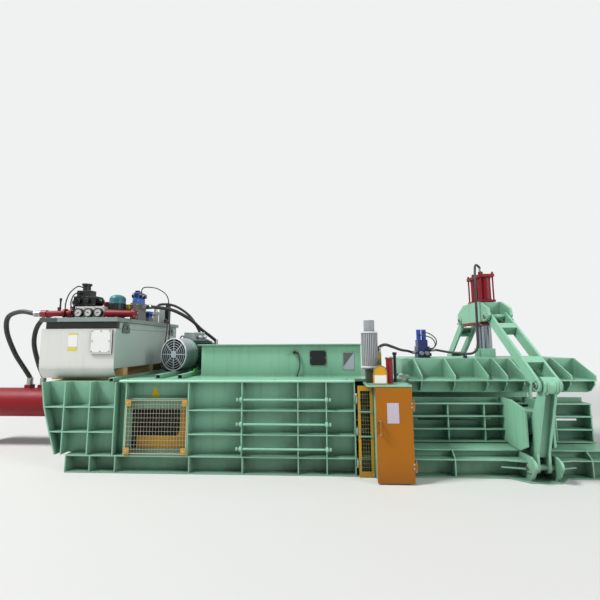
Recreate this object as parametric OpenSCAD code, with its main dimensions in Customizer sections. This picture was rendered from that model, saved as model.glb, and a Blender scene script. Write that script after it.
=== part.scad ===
// Horizontal waste paper baler. Millimetres, +X towards the bale outlet, +Z up.
// The origin is on the floor, below the middle of the machine body.

/* [Body] */
// Distance from the middle of the body to its outlet end
end_x = 3210; // [3190:5:3240]
// Half width over the base and the ribs
half_w = 1050; // [1040:5:1060]
// Height of the deck plate's top face
deck_z = 1015; // [1010:1:1020]
// Height of the base beams
base_h = 192; // [188:1:196]
// Half width of the baling chamber, half a bale
chamber_half = 550; // [545:1:555]
// Top face of the chamber floor
floor_z = 270; // [268:1:272]
// Thickness of a rib plate
rib_t = 14; // [10:1:18]

/* [Hopper] */
// Inlet end of the hopper opening
hopper_x0 = -1470; // [-1480:5:-1460]
// Outlet end of the hopper opening
hopper_x1 = 500; // [490:5:510]
// Half width of the hopper, outside
hopper_half = 612; // [606:1:616]
// Height of the hopper's rim
hopper_z = 1412; // [1380:4:1440]

/* [Ram and main cylinder] */
// Height of the cylinder's axis
cyl_z = 600; // [595:1:605]
// Outside radius of the main barrel
barrel_r = 200; // [190:1:205]
// Bore radius of the main barrel
bore_r = 160; // [155:1:165]
// Radius of the piston rod
rod_r = 110; // [100:1:115]
// Gap between a sliding face and its bore or guide
slide_gap = 0.05; // [0.03:0.01:0.08]

/* [Squeeze section] */
// Place of the squeeze levers along the machine
squeeze_x = 2280; // [2275:1:2285]
// Distance of the lever's foot pin from the middle
foot_y = 1100; // [1096:1:1104]
// Height of the lever's foot pin
foot_z = 140; // [138:1:142]
// Distance of the lever's top pin from the middle
top_y = 1315; // [1312:1:1318]
// Height of the lever's top pin
top_z = 990; // [988:1:992]
// Distance of the crosshead's pin from the middle
cross_y = 410; // [408:1:412]
// Height of the crosshead's pin
cross_z = 1745; // [1742:1:1748]
// Radius of the squeeze pins
pin_r = 32; // [30:1:34]
// Radius of the open eyes at the links' lower ends
eye_r = 38; // [38:1:44]

/* [Oil tank and motor] */
// Inlet end of the tank
tank_x0 = -3380; // [-3390:5:-3370]
// Outlet end of the tank
tank_x1 = -2450; // [-2455:5:-2445]
// Height of the tank lid's top face
lid_z = 1745; // [1740:1:1750]
// Height of the motor's shaft
motor_z = 1282; // [1280:1:1286]
// Turn of the motor away from the cross direction
motor_turn = 20; // [18:1:21]

/* [Hidden] */

$fn = 48;
mint = [0.50, 0.76, 0.62];
pale = [0.80, 0.83, 0.80];
amber = [0.76, 0.48, 0.07];
yellow = [0.89, 0.67, 0.10];
crimson = [0.66, 0.06, 0.14];
steel = [0.72, 0.74, 0.76];
black = [0.07, 0.07, 0.08];
blue = [0.14, 0.38, 0.80];
teal = [0.20, 0.45, 0.47];

body_x0 = -end_x;
base_x0 = -2865;
panel_x1 = 390;
channel_x0 = 960;
skin_y = half_w - 130;
skin_t = 12;
inner_y = 690;
deck_t = 27;
liner_t = 20;
liner_top = 958;
clear = 0.1;

// Ribs of the side panel, counted from the inlet end.
left_ribs = [-2922, -2622, -2325];
window_x0 = -2190;
window_x1 = -1475;
window_z0 = 215;
window_z1 = 795;
right_ribs = [window_x1, -868, -242, 72, panel_x1 - 7];
left_levels = [711, 438];
right_levels = [681, 422];
panel_lean = [[body_x0, deck_z - deck_t], [-3165, 711], [-3085, 438], [-3001, base_h]];

// Box between two corners.
module slab(x0, x1, y0, y1, z0, z1) {
  translate([x0, y0, z0]) cube([x1 - x0, y1 - y0, z1 - z0]);
}

// The child as drawn on the front side, and its mirror image at the rear.
module both_sides() {
  children();
  mirror([0, 1, 0]) children();
}

// Plate drawn in Y and Z, between two X places.
module yz_plate(x0, x1) {
  translate([x0, 0, 0]) rotate([90, 0, 90]) linear_extrude(x1 - x0) children();
}

// Plate drawn in X and Z, between two Y places.
module xz_plate(y0, y1) {
  translate([0, y1, 0]) rotate([90, 0, 0]) linear_extrude(y1 - y0) children();
}

module rod_x(x0, x1, r, y, z) {
  translate([x0, y, z]) rotate([0, 90, 0]) cylinder(h = x1 - x0, r = r);
}

module rod_y(y0, y1, r, x, z) {
  translate([x, y0, z]) rotate([-90, 0, 0]) cylinder(h = y1 - y0, r = r);
}

module rod_z(z0, z1, r, x, y) {
  translate([x, y, z0]) cylinder(h = z1 - z0, r = r);
}

// Hexagon bolt head or nut standing on a face, axis along Z.
module hex_head(r, h) {
  cylinder(h = h, r = r, $fn = 6);
}

// Straight bar with round ends, drawn between two points.
module round_bar_2d(a, b, r) {
  run = norm(b - a);
  turn = atan2(b[1] - a[1], b[0] - a[0]);
  translate(a) rotate(turn) {
    translate([0, -r]) square([run, 2 * r]);
    circle(r);
    translate([run, 0]) circle(r);
  }
}

// Smooth curve through hand placed points, for hoses and cables.
function unit(v) = v / norm(v);
function curve_at(a, b, c, d, t) =
  0.5 * (2 * b + (c - a) * t + (2 * a - 5 * b + 4 * c - d) * t * t + (3 * b - a - 3 * c + d) * t * t * t);
function smooth(p, n) = concat(
  [for (i = [0 : len(p) - 2]) for (k = [0 : n - 1])
    curve_at(p[max(i - 1, 0)], p[i], p[i + 1], p[min(i + 2, len(p) - 1)], k / n)],
  [p[len(p) - 1]]);
function headings(q, first, last) = [for (i = [0 : len(q) - 1])
  i == 0 ? unit(first) : i == len(q) - 1 ? unit(last) : unit(q[i + 1] - q[i - 1])];
function any_side(t) = abs(t[2]) < 0.9 ? cross(t, [0, 0, 1]) : cross(t, [1, 0, 0]);
function sides_along(t, i, last) = i == len(t) ? [] :
  let (s = unit(last - (last * t[i]) * t[i])) concat([s], sides_along(t, i + 1, s));

// Round tube swept along a route.
module hose(route, r, steps = 4, facets = 8) {
  q = smooth(route, steps);
  t = headings(q, route[1] - route[0], route[len(route) - 1] - route[len(route) - 2]);
  s = sides_along(t, 0, any_side(t[0]));
  n = len(q);
  rings = [for (i = [0 : n - 1]) for (k = [0 : facets - 1])
    q[i] + r * (cos(360 * k / facets) * s[i] + sin(360 * k / facets) * cross(t[i], s[i]))];
  walls = [for (i = [0 : n - 2]) for (k = [0 : facets - 1])
    let (m = (k + 1) % facets)
    [i * facets + k, (i + 1) * facets + k, (i + 1) * facets + m, i * facets + m]];
  near_cap = [[for (k = [0 : facets - 1]) k]];
  far_cap = [[for (k = [facets - 1 : -1 : 0]) (n - 1) * facets + k]];
  polyhedron(rings, concat(near_cap, walls, far_cap));
}

// Base: two channel beams on the floor, joined by cross beams.
module base_beam() {
  slab(base_x0, end_x, -half_w, -inner_y, 0, rib_t);
  slab(base_x0, end_x, -half_w, -inner_y, base_h - rib_t, base_h);
  slab(base_x0, end_x, -skin_y, -skin_y + rib_t, 0, base_h);
  slab(base_x0, base_x0 + rib_t, -half_w, -inner_y, 0, base_h);
  slab(end_x - rib_t, end_x, -half_w, -inner_y, 0, base_h);
  for (x = [-2580, -2288, -1448, -854, -240, 72, 381, channel_x0, 1430, 2830]) {
    slab(x - rib_t / 2, x + rib_t / 2, -half_w, -skin_y, 0, base_h);
  }
}

// Sill of the discharge channel, standing on the base beam.
module base_sill() {
  slab(channel_x0, end_x, -skin_y - 45, -chamber_half - 60, floor_z - rib_t, floor_z);
  slab(channel_x0, end_x, -skin_y, -skin_y + rib_t, base_h, floor_z);
  for (x = [channel_x0 + rib_t, 1430, 2830, end_x - rib_t]) {
    yz_plate(x - rib_t / 2, x + rib_t / 2) {
      polygon([[-skin_y, base_h], [-half_w, base_h], [-skin_y - 45, floor_z], [-skin_y, floor_z]]);
    }
  }
}

anchor_x = [-2480, 3080];
anchor_y = 990;
anchor_r = 14;
module base_frame() color(mint) {
  difference() {
    union() {
      both_sides() {
        base_beam();
        base_sill();
      }
      for (x = [-2700, -2100, -1500, -750, 0, 750, 1200, 1750, 2280, 2750, 3100]) {
        slab(x - 40, x + 40, -inner_y - 5, inner_y + 5, 0, floor_z - 20);
      }
    }
    for (x = anchor_x) for (y = [-anchor_y, anchor_y]) {
      rod_z(-1, rib_t + 1, anchor_r, x, y);
    }
  }
}

// Floor plate of the chamber and channel.
module chamber_floor() color(steel) {
  slab(-2978, end_x - 5, -chamber_half - liner_t, chamber_half + liner_t, floor_z - 20, floor_z);
}

// Wear wall of the chamber, with the window and the wire slots.
wire_levels = [360, 500, 640, 780];
module chamber_wall() {
  difference() {
    slab(-2978, channel_x0 - 4, -chamber_half - liner_t, -chamber_half, floor_z, liner_top);
    slab(window_x0 + 40, window_x1 - 40, -chamber_half - 30, -chamber_half + 10, 330, 700);
    for (z = wire_levels) {
      slab(430, 570, -chamber_half - 30, -chamber_half + 10, z - 25, z + 25);
    }
  }
}

module chamber_wall_front() color(mint) {
  chamber_wall();
}

module chamber_wall_rear() color(mint) {
  mirror([0, 1, 0]) chamber_wall();
}

// Upright plates between the wear walls and the outer skins.
module bulkheads() color(mint) both_sides() {
  for (x = [-2640, window_x0 - 60, window_x1 + 20, -868, -242, 370, 620, 930]) {
    slab(x, x + 25, -skin_y, -chamber_half - liner_t, base_h, liner_top);
  }
  slab(645, 930, -skin_y, -skin_y + 12, base_h, liner_top);
}

// Ribbed side panel: skin, upright ribs, level ribs and a leaning inlet edge.
module edge_strip(points, w) {
  shifted = [for (i = [len(points) - 1 : -1 : 0]) points[i] + [w, 0]];
  polygon(concat(points, shifted));
}

// Side window: an opening with round corners, a little smaller than its guard.
module window_opening() {
  wide = window_x1 - window_x0;
  high = window_z1 - window_z0;
  translate([window_x0 + 12, window_z0 + 52]) square([wide - 50, high - 198]);
  translate([window_x0 + 44, window_z0 + 20]) square([wide - 114, high - 134]);
  for (x = [window_x0 + 44, window_x1 - 70]) for (z = [window_z0 + 52, window_z1 - 146]) {
    translate([x, z]) circle(32);
  }
}

module side_panel() {
  difference() {
    xz_plate(-skin_y - skin_t, -skin_y) {
      polygon(concat(panel_lean, [[panel_x1, base_h], [panel_x1, deck_z - deck_t]]));
    }
    xz_plate(-half_w, 0) window_opening();
  }
  xz_plate(-half_w, -skin_y) edge_strip(panel_lean, 17);
  for (x = concat(left_ribs, [window_x0 - rib_t / 2], right_ribs)) {
    slab(x - rib_t / 2, x + rib_t / 2, -half_w, -skin_y, base_h, deck_z - deck_t);
  }
  for (z = left_levels) {
    slab(z > 500 ? -3165 : -3085, left_ribs[2], -half_w, -skin_y, z - rib_t / 2, z + rib_t / 2);
  }
  for (z = right_levels) {
    slab(window_x1, panel_x1, -half_w, -skin_y, z - rib_t / 2, z + rib_t / 2);
  }
  slab(window_x0 - rib_t, window_x1, -half_w + 30, -skin_y, window_z1, window_z1 + rib_t);
}

module body_panel_front() color(mint) {
  side_panel();
}

module body_panel_rear() color(mint) {
  mirror([0, 1, 0]) side_panel();
}

// Deck: thick plate with the hopper opening, and a lower plate under the tank.
module deck_plate() color(mint) {
  difference() {
    union() {
      slab(-2280, panel_x1, -half_w, half_w, deck_z - deck_t, deck_z);
      slab(panel_x1, channel_x0, -skin_y, skin_y, deck_z - deck_t, deck_z);
      slab(body_x0, -2250, -skin_y, skin_y, liner_top, deck_z - deck_t);
    }
    slab(hopper_x0 + 20, hopper_x1 - 20, -chamber_half, chamber_half, 900, 1100);
  }
}

// Thick plate that carries the main cylinder, bored for the barrel.
module cylinder_end_plate() color(mint) {
  difference() {
    slab(-3020, -2980, -skin_y, skin_y, base_h, liner_top);
    rod_x(-3100, -2900, barrel_r + 1, 0, cyl_z);
  }
  both_sides() {
    slab(-2980, -2860, -skin_y, -chamber_half - liner_t, base_h, base_h + 15);
  }
}

// Hopper: four walls with a turned out rim.
rim_w = 40;
rim_hole_r = 9;
module hopper() color(mint) {
  difference() {
    union() {
      slab(hopper_x0 - 12, hopper_x1 + 12, -hopper_half, hopper_half, deck_z, hopper_z);
      slab(hopper_x0 - 12 - rim_w, hopper_x1 + 12 + rim_w, -hopper_half - rim_w, hopper_half + rim_w,
        hopper_z - 12, hopper_z);
    }
    slab(hopper_x0, hopper_x1, 12 - hopper_half, hopper_half - 12, deck_z - 1, hopper_z + 1);
    for (x = [hopper_x0 - 32, hopper_x1 + 32]) for (y = [-hopper_half - 20, hopper_half + 20]) {
      rod_z(hopper_z - 20, hopper_z + 1, rim_hole_r, x, y);
    }
  }
}

// Small plates and the level sensor on the hopper's front wall.
module hopper_plates() color(black) {
  slab(-113, 82, -hopper_half - 5, -hopper_half, 1155, 1326);
  slab(290, 430, -hopper_half - 4, -hopper_half, 1095, 1312);
  slab(-325, -285, -hopper_half - 26, -hopper_half, 1288, 1330);
}

// Bolted mesh guard over the side window.
module window_guard() color(yellow) {
  y0 = -half_w - 8;
  y1 = -half_w;
  x0 = window_x0 + 2;
  x1 = window_x1 - 8;
  z0 = window_z0 - 8;
  z1 = window_z1;
  difference() {
    slab(x0, x1, y0, y1, z0, z1);
    slab(x0 + 14, x1 - 14, y0 - 1, y1 + 1, z0 + 14, z1 - 14);
  }
  for (i = [1 : 9]) {
    x = x0 + (x1 - x0) * i / 10;
    slab(x - 3, x + 3, y0 + 2, y1 - 1, z0 + 10, z1 - 10);
  }
  for (i = [1 : 8]) {
    z = z0 + (z1 - z0) * i / 9;
    slab(x0 + 10, x1 - 10, y0 + 2, y1 - 1, z - 3, z + 3);
  }
  for (x = [x0, x1 - 60]) for (z = [z0, z1 - 70]) {
    slab(x, x + 60, y0 - 6, y0 + 2, z, z + 70);
  }
}

// Three clamp bars along the side panel.
bar_levels = [803, 541, 281];
bar_y = half_w + 28;
bar_r = 12;
module tie_bars() color(mint) {
  tie_bar_clamps();
  for (z = bar_levels) {
    rod_x(-903, 110, bar_r, -bar_y, z);
    for (x = [-921, 103]) {
      translate([x, -bar_y, z]) rotate([0, 90, 0]) hex_head(bar_r + 8, 18);
    }
  }
}

module tie_bar_clamps() {
  for (z = bar_levels) for (x = [-868, 72]) {
    difference() {
      union() {
        rod_x(x - 14, x + 14, 27, -bar_y, z);
        slab(x - 14, x + 14, -bar_y, -half_w, z - 27, z + 27);
      }
      rod_x(x - 30, x + 30, bar_r + clear, -bar_y, z);
    }
  }
}

// Toothed cutting bars: one fixed under the deck, one on the ram.
module toothed_bar(x, z0, z1, way) {
  half = chamber_half - 12;
  teeth = 12;
  pitch = 2 * half / teeth;
  edge = [for (i = [0 : teeth - 1]) each [[x, i * pitch - half], [x + way * 24, (i + 0.5) * pitch - half]]];
  translate([0, 0, z0]) linear_extrude(z1 - z0) {
    polygon(concat(edge, [[x, half], [x - way * 30, half], [x - way * 30, -half]]));
  }
}

module fixed_blade() color(steel) {
  toothed_bar(hopper_x1 - 8, 953, deck_z - deck_t, -1);
}

ram_front = -1560;
module ram_blade() color(steel) {
  toothed_bar(ram_front + 30, 926, 950, 1);
}

// Ram: welded box, open at the back so that it clears the cylinder.
ram_half = chamber_half - 10;
ram_x0 = -2950;
module ram() color(mint) {
  slab(ram_front - 60, ram_front, -ram_half, ram_half, 285, 948);
  both_sides() {
    slab(ram_x0, ram_front, -ram_half, -ram_half + 20, 285, 948);
  }
  slab(ram_x0, ram_front, -ram_half, ram_half, 285, 305);
  slab(ram_x0, ram_front, -ram_half, ram_half, 928, 948);
  for (x = [-2920, -2350]) {
    difference() {
      slab(x, x + 20, -ram_half, ram_half, 285, 948);
      rod_x(x - 5, x + 25, barrel_r + 30, 0, cyl_z);
    }
  }
  for (y = [-300, -90, 90, 300]) {
    slab(ram_front - 220, ram_front - 60, y - 10, y + 10, 305, 395);
    slab(ram_front - 220, ram_front - 60, y - 10, y + 10, 810, 928);
  }
}

module ram_wear_strips() color(steel) {
  both_sides() {
    slab(ram_x0 + 20, ram_front - 10, -ram_half + 10, -ram_half + 110, floor_z + 1, 285);
  }
}

// Main cylinder: barrel with its flange, end cap and ports.
barrel_x0 = -5000;
barrel_x1 = -2560;
port_x = [-4220, -4020];
module main_cylinder() color(crimson) {
  difference() {
    union() {
      rod_x(barrel_x0 - 55, barrel_x1, barrel_r, 0, cyl_z);
      rod_x(barrel_x0 - 60, barrel_x0 + 40, barrel_r + 18, 0, cyl_z);
      rod_x(-3070, -3020, barrel_r + 90, 0, cyl_z);
      for (x = port_x) {
        slab(x - 45, x + 45, -45, 45, cyl_z + barrel_r - 30, cyl_z + barrel_r + 45);
      }
      for (i = [0 : 11]) {
        translate([-3070, 0, cyl_z]) rotate([0, -90, 0]) rotate(30 * i) {
          translate([barrel_r + 55, 0, 0]) hex_head(22, 24);
        }
      }
    }
    rod_x(barrel_x0, barrel_x1 + 1, bore_r, 0, cyl_z);
  }
}

module cylinder_gland() color(steel) {
  difference() {
    rod_x(barrel_x1, barrel_x1 + 60, barrel_r - 6, 0, cyl_z);
    rod_x(barrel_x1 - 1, barrel_x1 + 61, rod_r + slide_gap, 0, cyl_z);
  }
}

module piston_rod() color(steel) {
  rod_x(barrel_x0 + 20, barrel_x0 + 120, bore_r - slide_gap, 0, cyl_z);
  rod_x(barrel_x0 + 100, ram_front - 60, rod_r, 0, cyl_z);
  rod_x(ram_front - 105, ram_front - 60, rod_r + 70, 0, cyl_z);
  for (i = [0 : 7]) {
    translate([ram_front - 105, 0, cyl_z]) rotate([0, -90, 0]) rotate(45 * i) {
      translate([rod_r + 42, 0, 0]) hex_head(20, 20);
    }
  }
}

// Oil tank: welded box with a front that curls under, a set back rim and a lid.
tank_y0 = -900;
tank_y1 = 930;
tank_z0 = 1130;
curl_r = 175;
curl_z = 1170;
module oil_tank() color(pale) {
  curl = [for (a = [0 : 10 : 60]) [tank_y0 + curl_r * (1 - cos(a)), curl_z - curl_r * sin(a)]];
  inside = [for (a = [60 : -10 : 0]) [tank_y0 + 8 + curl_r * (1 - cos(a)), curl_z + 2 - curl_r * sin(a)]];
  yz_plate(tank_x0, tank_x1) {
    polygon(concat([[tank_y0, 1610]], curl, inside, [[tank_y0 + 8, 1230], [tank_y0 + 8, 1610]]));
  }
  difference() {
    union() {
      slab(tank_x0, tank_x1, tank_y0 + 4, tank_y1, tank_z0, 1610);
      slab(tank_x0 + 20, tank_x1, tank_y0 + 40, tank_y1, 1610, lid_z - 50);
    }
    slab(tank_x0 + 8, tank_x1 - 8, tank_y0 + 12, tank_y1 - 8, tank_z0 + 10, 1602);
    slab(tank_x0 + 28, tank_x1 - 8, tank_y0 + 48, tank_y1 - 8, 1600, lid_z - 49);
  }
  slab(tank_x1 - 285, tank_x1 - 30, tank_y0 - 18, tank_y0, 1305, 1594);
}

module tank_lid() color(pale) {
  slab(tank_x0 - 15, tank_x1 + 30, tank_y0 - 30, tank_y1 + 20, lid_z - 50, lid_z - 38);
  slab(tank_x0 - 15, tank_x1 + 30, tank_y0 - 30, tank_y0 - 18, lid_z - 50, lid_z);
  slab(tank_x0 - 15, tank_x1 + 30, tank_y0 - 30, tank_y1 + 20, lid_z - 12, lid_z);
  slab(tank_x0 - 15, tank_x0, tank_y0 - 30, tank_y1 + 20, lid_z - 50, lid_z);
  slab(tank_x1 + 15, tank_x1 + 30, tank_y0 - 30, tank_y1 + 20, lid_z - 50, lid_z);
  slab(tank_x0 - 15, tank_x1 + 30, tank_y1 + 8, tank_y1 + 20, lid_z - 50, lid_z);
  rod_z(lid_z, lid_z + 20, 150, tank_x0 + 460, 450);
}

// Timber bearers under the tank.
module tank_supports() color([0.62, 0.48, 0.28]) {
  for (y = [-660, 40, 760]) {
    slab(tank_x0 + 30, tank_x1 + 15, y - 50, y + 50, deck_z - deck_t, tank_z0);
  }
}

// Lifting eyes welded to the tank's end.
module lifting_eyes() color(pale) {
  for (y = [-680, 700]) {
    difference() {
      yz_plate(tank_x1, tank_x1 + 16) {
        polygon([[y - 80, 1560], [y + 80, 1560], [y + 80, 1620], [y + 45, 1680], [y - 45, 1680],
          [y - 80, 1620]]);
      }
      rod_x(tank_x1 - 1, tank_x1 + 17, 26, y, 1628);
    }
  }
}

// Gauge panel with three round pressure gauges.
module gauge_panel() color([0.9, 0.9, 0.9]) {
  slab(-3160, -2770, -640, -560, lid_z, lid_z + 165);
  for (x = [-3095, -2965, -2835]) {
    rod_y(-672, -640, 56, x, lid_z + 84);
  }
}

// Black directional valve on its block, with its adjusting knob.
module main_valve() color(black) {
  slab(-3390, -3120, -420, -180, lid_z, lid_z + 190);
  slab(-3370, -3060, -390, -210, lid_z + 190, lid_z + 335);
  for (x = [-3370, -3060]) {
    rod_x(x - 34, x + 34, 52, -300, lid_z + 262);
  }
  slab(-3350, -3150, -360, -240, lid_z + 335, lid_z + 420);
  rod_z(lid_z + 420, lid_z + 495, 46, -3250, -300);
  rod_z(lid_z + 495, lid_z + 520, 62, -3250, -300);
}

// Red pipe to the main cylinder's hoses, and the red filter tube.
pipe_z = 1825;
module red_pipework() color(crimson) {
  rod_x(-3560, -3200, 38, -600, pipe_z);
  rod_x(-3230, -3200, 68, -600, pipe_z);
  rod_x(-3330, -3300, 60, -600, pipe_z);
  rod_z(lid_z, pipe_z, 34, -3265, -600);
  translate([-2690, -690, 1806]) rotate([0, 90, 0]) cylinder(h = 330, r1 = 58, r2 = 40);
  rod_x(-2705, -2690, 60, -690, 1806);
  rod_x(-2360, -2330, 60, -690, 1806);
  rod_z(lid_z, 1800, 34, -2560, -690);
  rod_z(pipe_z, 1886, 20, -3405, -600);
  rod_z(1886, 1912, 8 - clear, -3405, -600);
}

module hand_valve_lever() color(black) {
  difference() {
    rod_z(1887, 1905, 22, -3405, -600);
    rod_z(1880, 1910, 8, -3405, -600);
  }
  slab(-3414, -3396, -590, -580, 1890, 2000);
  rod_z(1990, 2030, 14, -3405, -585);
}

// Pilot oil motor with a domed cover.
module pilot_motor() color(teal) {
  translate([-2690, -480, lid_z]) rotate_extrude() {
    polygon(concat([[0, 0], [82, 0], [82, 130], [100, 130], [100, 275]],
      [for (a = [10 : 10 : 80]) [100 * cos(a), 275 + 62 * sin(a)]], [[0, 337]]));
  }
}

module valve_block() color([0.42, 0.40, 0.38]) {
  slab(-2545, -2435, -420, -200, lid_z, lid_z + 235);
  slab(-2540, -2450, -60, 60, lid_z, lid_z + 60);
}

// Blue solenoid valves on the blocks.
module blue_valves() color(blue) {
  slab(-2530, -2445, -400, -220, lid_z + 235, lid_z + 300);
  for (y = [-360, -260]) {
    rod_x(-2550, -2415, 32, y, lid_z + 335);
    slab(-2520, -2450, y - 34, y + 34, lid_z + 300, lid_z + 380);
  }
  slab(-2530, -2460, -50, 50, lid_z + 60, lid_z + 150);
  rod_x(-2555, -2435, 28, 0, lid_z + 105);
}

// Hose fittings, plugs and the terminal box on the tank.
module tank_fittings() color(pale) {
  rod_x(-3640, -3560, 46, -600, pipe_z);
  rod_x(-2600, -2545, 26, -310, 1930);
  rod_z(lid_z, lid_z + 120, 40, -2500, 240);
  rod_z(lid_z + 120, lid_z + 165, 52, -2500, 240);
  rod_z(lid_z, lid_z + 150, 30, -2500, 420);
  rod_x(-2435, -2380, 34, -310, 1930);
  slab(-2590, -2500, 560, 700, lid_z, lid_z + 260);
  slab(-2500, -2450, 590, 670, lid_z, lid_z + 330);
}

// Motor base: square tubes across the deck.
rail_x = [-2394, -1900, -1635];
rail_y0 = [-1030, -910, -910];
rail_z = [deck_z - deck_t, deck_z, deck_z];
module motor_rails() color(mint) {
  for (i = [0 : 2]) {
    difference() {
      slab(rail_x[i] - 28, rail_x[i] + 28, rail_y0[i], 860, rail_z[i], rail_z[i] + 48);
      slab(rail_x[i] - 23, rail_x[i] + 23, rail_y0[i] - 1, 861, rail_z[i] + 5, rail_z[i] + 43);
    }
  }
  slab(-1600, -1592, -560, -440, deck_z, deck_z + 90);
  slab(-1660, -1592, -560, -440, deck_z + 48, deck_z + 56);
}

motor_x = -1806;
motor_y = 45;
module at_motor() {
  translate([motor_x, motor_y, motor_z]) rotate([0, 0, -motor_turn]) children();
}

// Electric motor: finned frame on feet, with its terminal box.
frame_r = 180;
module motor_body() color([0.45, 0.62, 0.55]) at_motor() {
  rod_y(-270, 210, frame_r, 0, 0);
  rod_y(210, 250, frame_r + 30, 0, 0);
  for (i = [0 : 35]) {
    rotate([0, 10 * i, 0]) {
      slab(-3, 3, -250, 200, frame_r - 5, frame_r + 24);
    }
  }
  both_sides_x() {
    slab(110, 215, -190, 170, deck_z + 48 - motor_z, -195);
    slab(110, 140, -190, 170, -200, -120);
  }
  slab(-95, 95, -120, 100, frame_r, frame_r + 110);
  rod_x(95, 150, 22, -60, frame_r + 55);
  rod_x(95, 150, 22, 40, frame_r + 55);
}

module both_sides_x() {
  children();
  mirror([1, 0, 0]) children();
}

// Pressed fan cowl with slots between its rings and spokes.
cowl_r = 216;
module motor_cowl() color([0.58, 0.60, 0.62]) at_motor() {
  difference() {
    rod_y(-425, -240, cowl_r, 0, 0);
    rod_y(-418, -239, cowl_r - 6, 0, 0);
    for (r = [50, 82, 114, 146, 178]) {
      difference() {
        rod_y(-430, -410, r + 24, 0, 0);
        rod_y(-431, -409, r, 0, 0);
        for (a = [0 : 45 : 135]) {
          rotate([0, a, 0]) slab(-cowl_r, cowl_r, -432, -408, -6, 6);
        }
      }
    }
  }
  for (a = [45 : 90 : 315]) {
    rotate([0, a, 0]) slab(frame_r + 0.5, cowl_r - 3, -265, -252, -12, 12);
  }
}

// Fan with its shaft end, turning inside the cowl.
module motor_fan() color(black) at_motor() {
  rod_y(-375, -272, 26, 0, 0);
  rod_y(-395, -300, 60, 0, 0);
  for (a = [0 : 45 : 315]) {
    rotate([0, a, 0]) slab(50, 195, -390, -310, -4, 4);
  }
}

module oil_pump() color(blue) at_motor() {
  rod_y(250, 270, 165, 0, 0);
  rod_y(270, 400, 120, 0, 0);
  rod_y(400, 420, 150, 0, 0);
  rod_y(420, 600, 78, 0, 0);
  rod_z(60, 130, 34, 0, 510);
  rod_x(-110, -40, 28, 560, 0);
}

// Cabinet of the wire tying station, hung on the side of the machine.
cab_x0 = 585;
cab_x1 = 955;
cab_y0 = -1250;
cab_y1 = -932;
cab_z0 = 20;
cab_z1 = 965;
module cabinet() color(mint) {
  step_y = -half_w - 2;
  step_z = base_h + 2;
  difference() {
    yz_plate(cab_x0, cab_x1) {
      polygon([[cab_y0, cab_z0], [step_y, cab_z0], [step_y, step_z], [cab_y1, step_z], [cab_y1, cab_z1],
        [cab_y0, cab_z1]]);
    }
    yz_plate(cab_x0 + 8, cab_x1 - 8) {
      polygon([[cab_y0 - 1, cab_z0 + 10], [step_y - 8, cab_z0 + 10], [step_y - 8, step_z + 8],
        [cab_y1 - 8, step_z + 8], [cab_y1 - 8, cab_z1 - 8], [cab_y0 - 1, cab_z1 - 8]]);
    }
    slab(cab_x0 + 60, cab_x1 - 60, cab_y1 - 20, cab_y1 + 1, 300, 840);
    rod_z(cab_z1 - 20, cab_z1 + 1, 24, 760, -1110);
  }
  difference() {
    slab(cab_x0 - 95, cab_x1, cab_y0 - 14, cab_y1, cab_z1, cab_z1 + 20);
    rod_z(cab_z1 - 10, cab_z1 + 30, 24, 760, -1110);
  }
  slab(cab_x0 + 8, cab_x1 - 8, -skin_y - skin_t, -skin_y, 700, 760);
  slab(cab_x0 + 8, cab_x1 - 8, -skin_y - skin_t, -skin_y, 260, 320);
}

// Door of the cabinet: folded sheet with hinge barrels and a handle.
door_hinge = [cab_x1 + 14, cab_y0 - 8];
module cabinet_door() color(amber) {
  difference() {
    slab(cab_x0 - 6, cab_x1 - 4, cab_y0 - 18, cab_y0 - 2, cab_z0 - 6, cab_z1 - 6);
    slab(cab_x0 - 2, cab_x1 - 8, cab_y0 - 14, cab_y0 - 1, cab_z0 - 2, cab_z1 - 10);
  }
  for (z = [180, 780]) {
    difference() {
      union() {
        rod_z(z - 35, z + 35, 12, door_hinge[0], door_hinge[1]);
        slab(cab_x1 - 20, door_hinge[0], cab_y0 - 18, cab_y0 - 10, z - 35, z + 35);
      }
      rod_z(z - 40, z + 40, 7 + clear, door_hinge[0], door_hinge[1]);
    }
  }
  slab(cab_x0 + 25, cab_x0 + 45, cab_y0 - 50, cab_y0 - 18, 500, 512);
  slab(cab_x0 + 25, cab_x0 + 45, cab_y0 - 50, cab_y0 - 18, 600, 612);
  slab(cab_x0 + 25, cab_x0 + 45, cab_y0 - 56, cab_y0 - 44, 500, 612);
}

// Twister spindle with a hook wheel at the level of each wire.
spindle = [760, -1110];
module twister_shaft() color(steel) {
  rod_z(cab_z0 + 12, 990, 20, spindle[0], spindle[1]);
  for (z = wire_levels) {
    difference() {
      rod_z(z - 8, z + 8, 70, spindle[0], spindle[1]);
      for (a = [0, 120, 240]) {
        translate([spindle[0], spindle[1], z - 10]) rotate(a) translate([58, 0, 0]) cylinder(h = 20, r = 16);
      }
    }
  }
}

// Drives on the cabinet's top: upright motor, red hydraulic motor and pipes.
module station_drive() color(crimson) {
  top = cab_z1 + 20;
  slab(515, 615, -1065, -965, top, top + 150);
  rod_z(top + 150, top + 560, 84, 565, -1015);
  rod_z(top + 560, top + 690, 60, 565, -1015);
  difference() {
    rod_z(top, top + 260, 36, spindle[0], spindle[1]);
    rod_z(top - 1, top + 30, 21, spindle[0], spindle[1]);
  }
  rod_z(top + 260, top + 275, 44, spindle[0], spindle[1]);
  rod_z(top, top + 320, 16, 850, -965);
  rod_z(top + 300, top + 330, 24, 850, -965);
  slab(655, 695, -1010, -970, top, top + 330);
}

// Yellow guard plate with a round top.
module arch_guard() color(yellow) {
  xz_plate(-1240, -1228) {
    translate([568, 985]) square([142, 130]);
    translate([639, 1115]) circle(71);
  }
  slab(568, 580, -1228, -1190, 985, 1100);
  slab(698, 710, -1228, -1190, 985, 1100);
}

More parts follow.
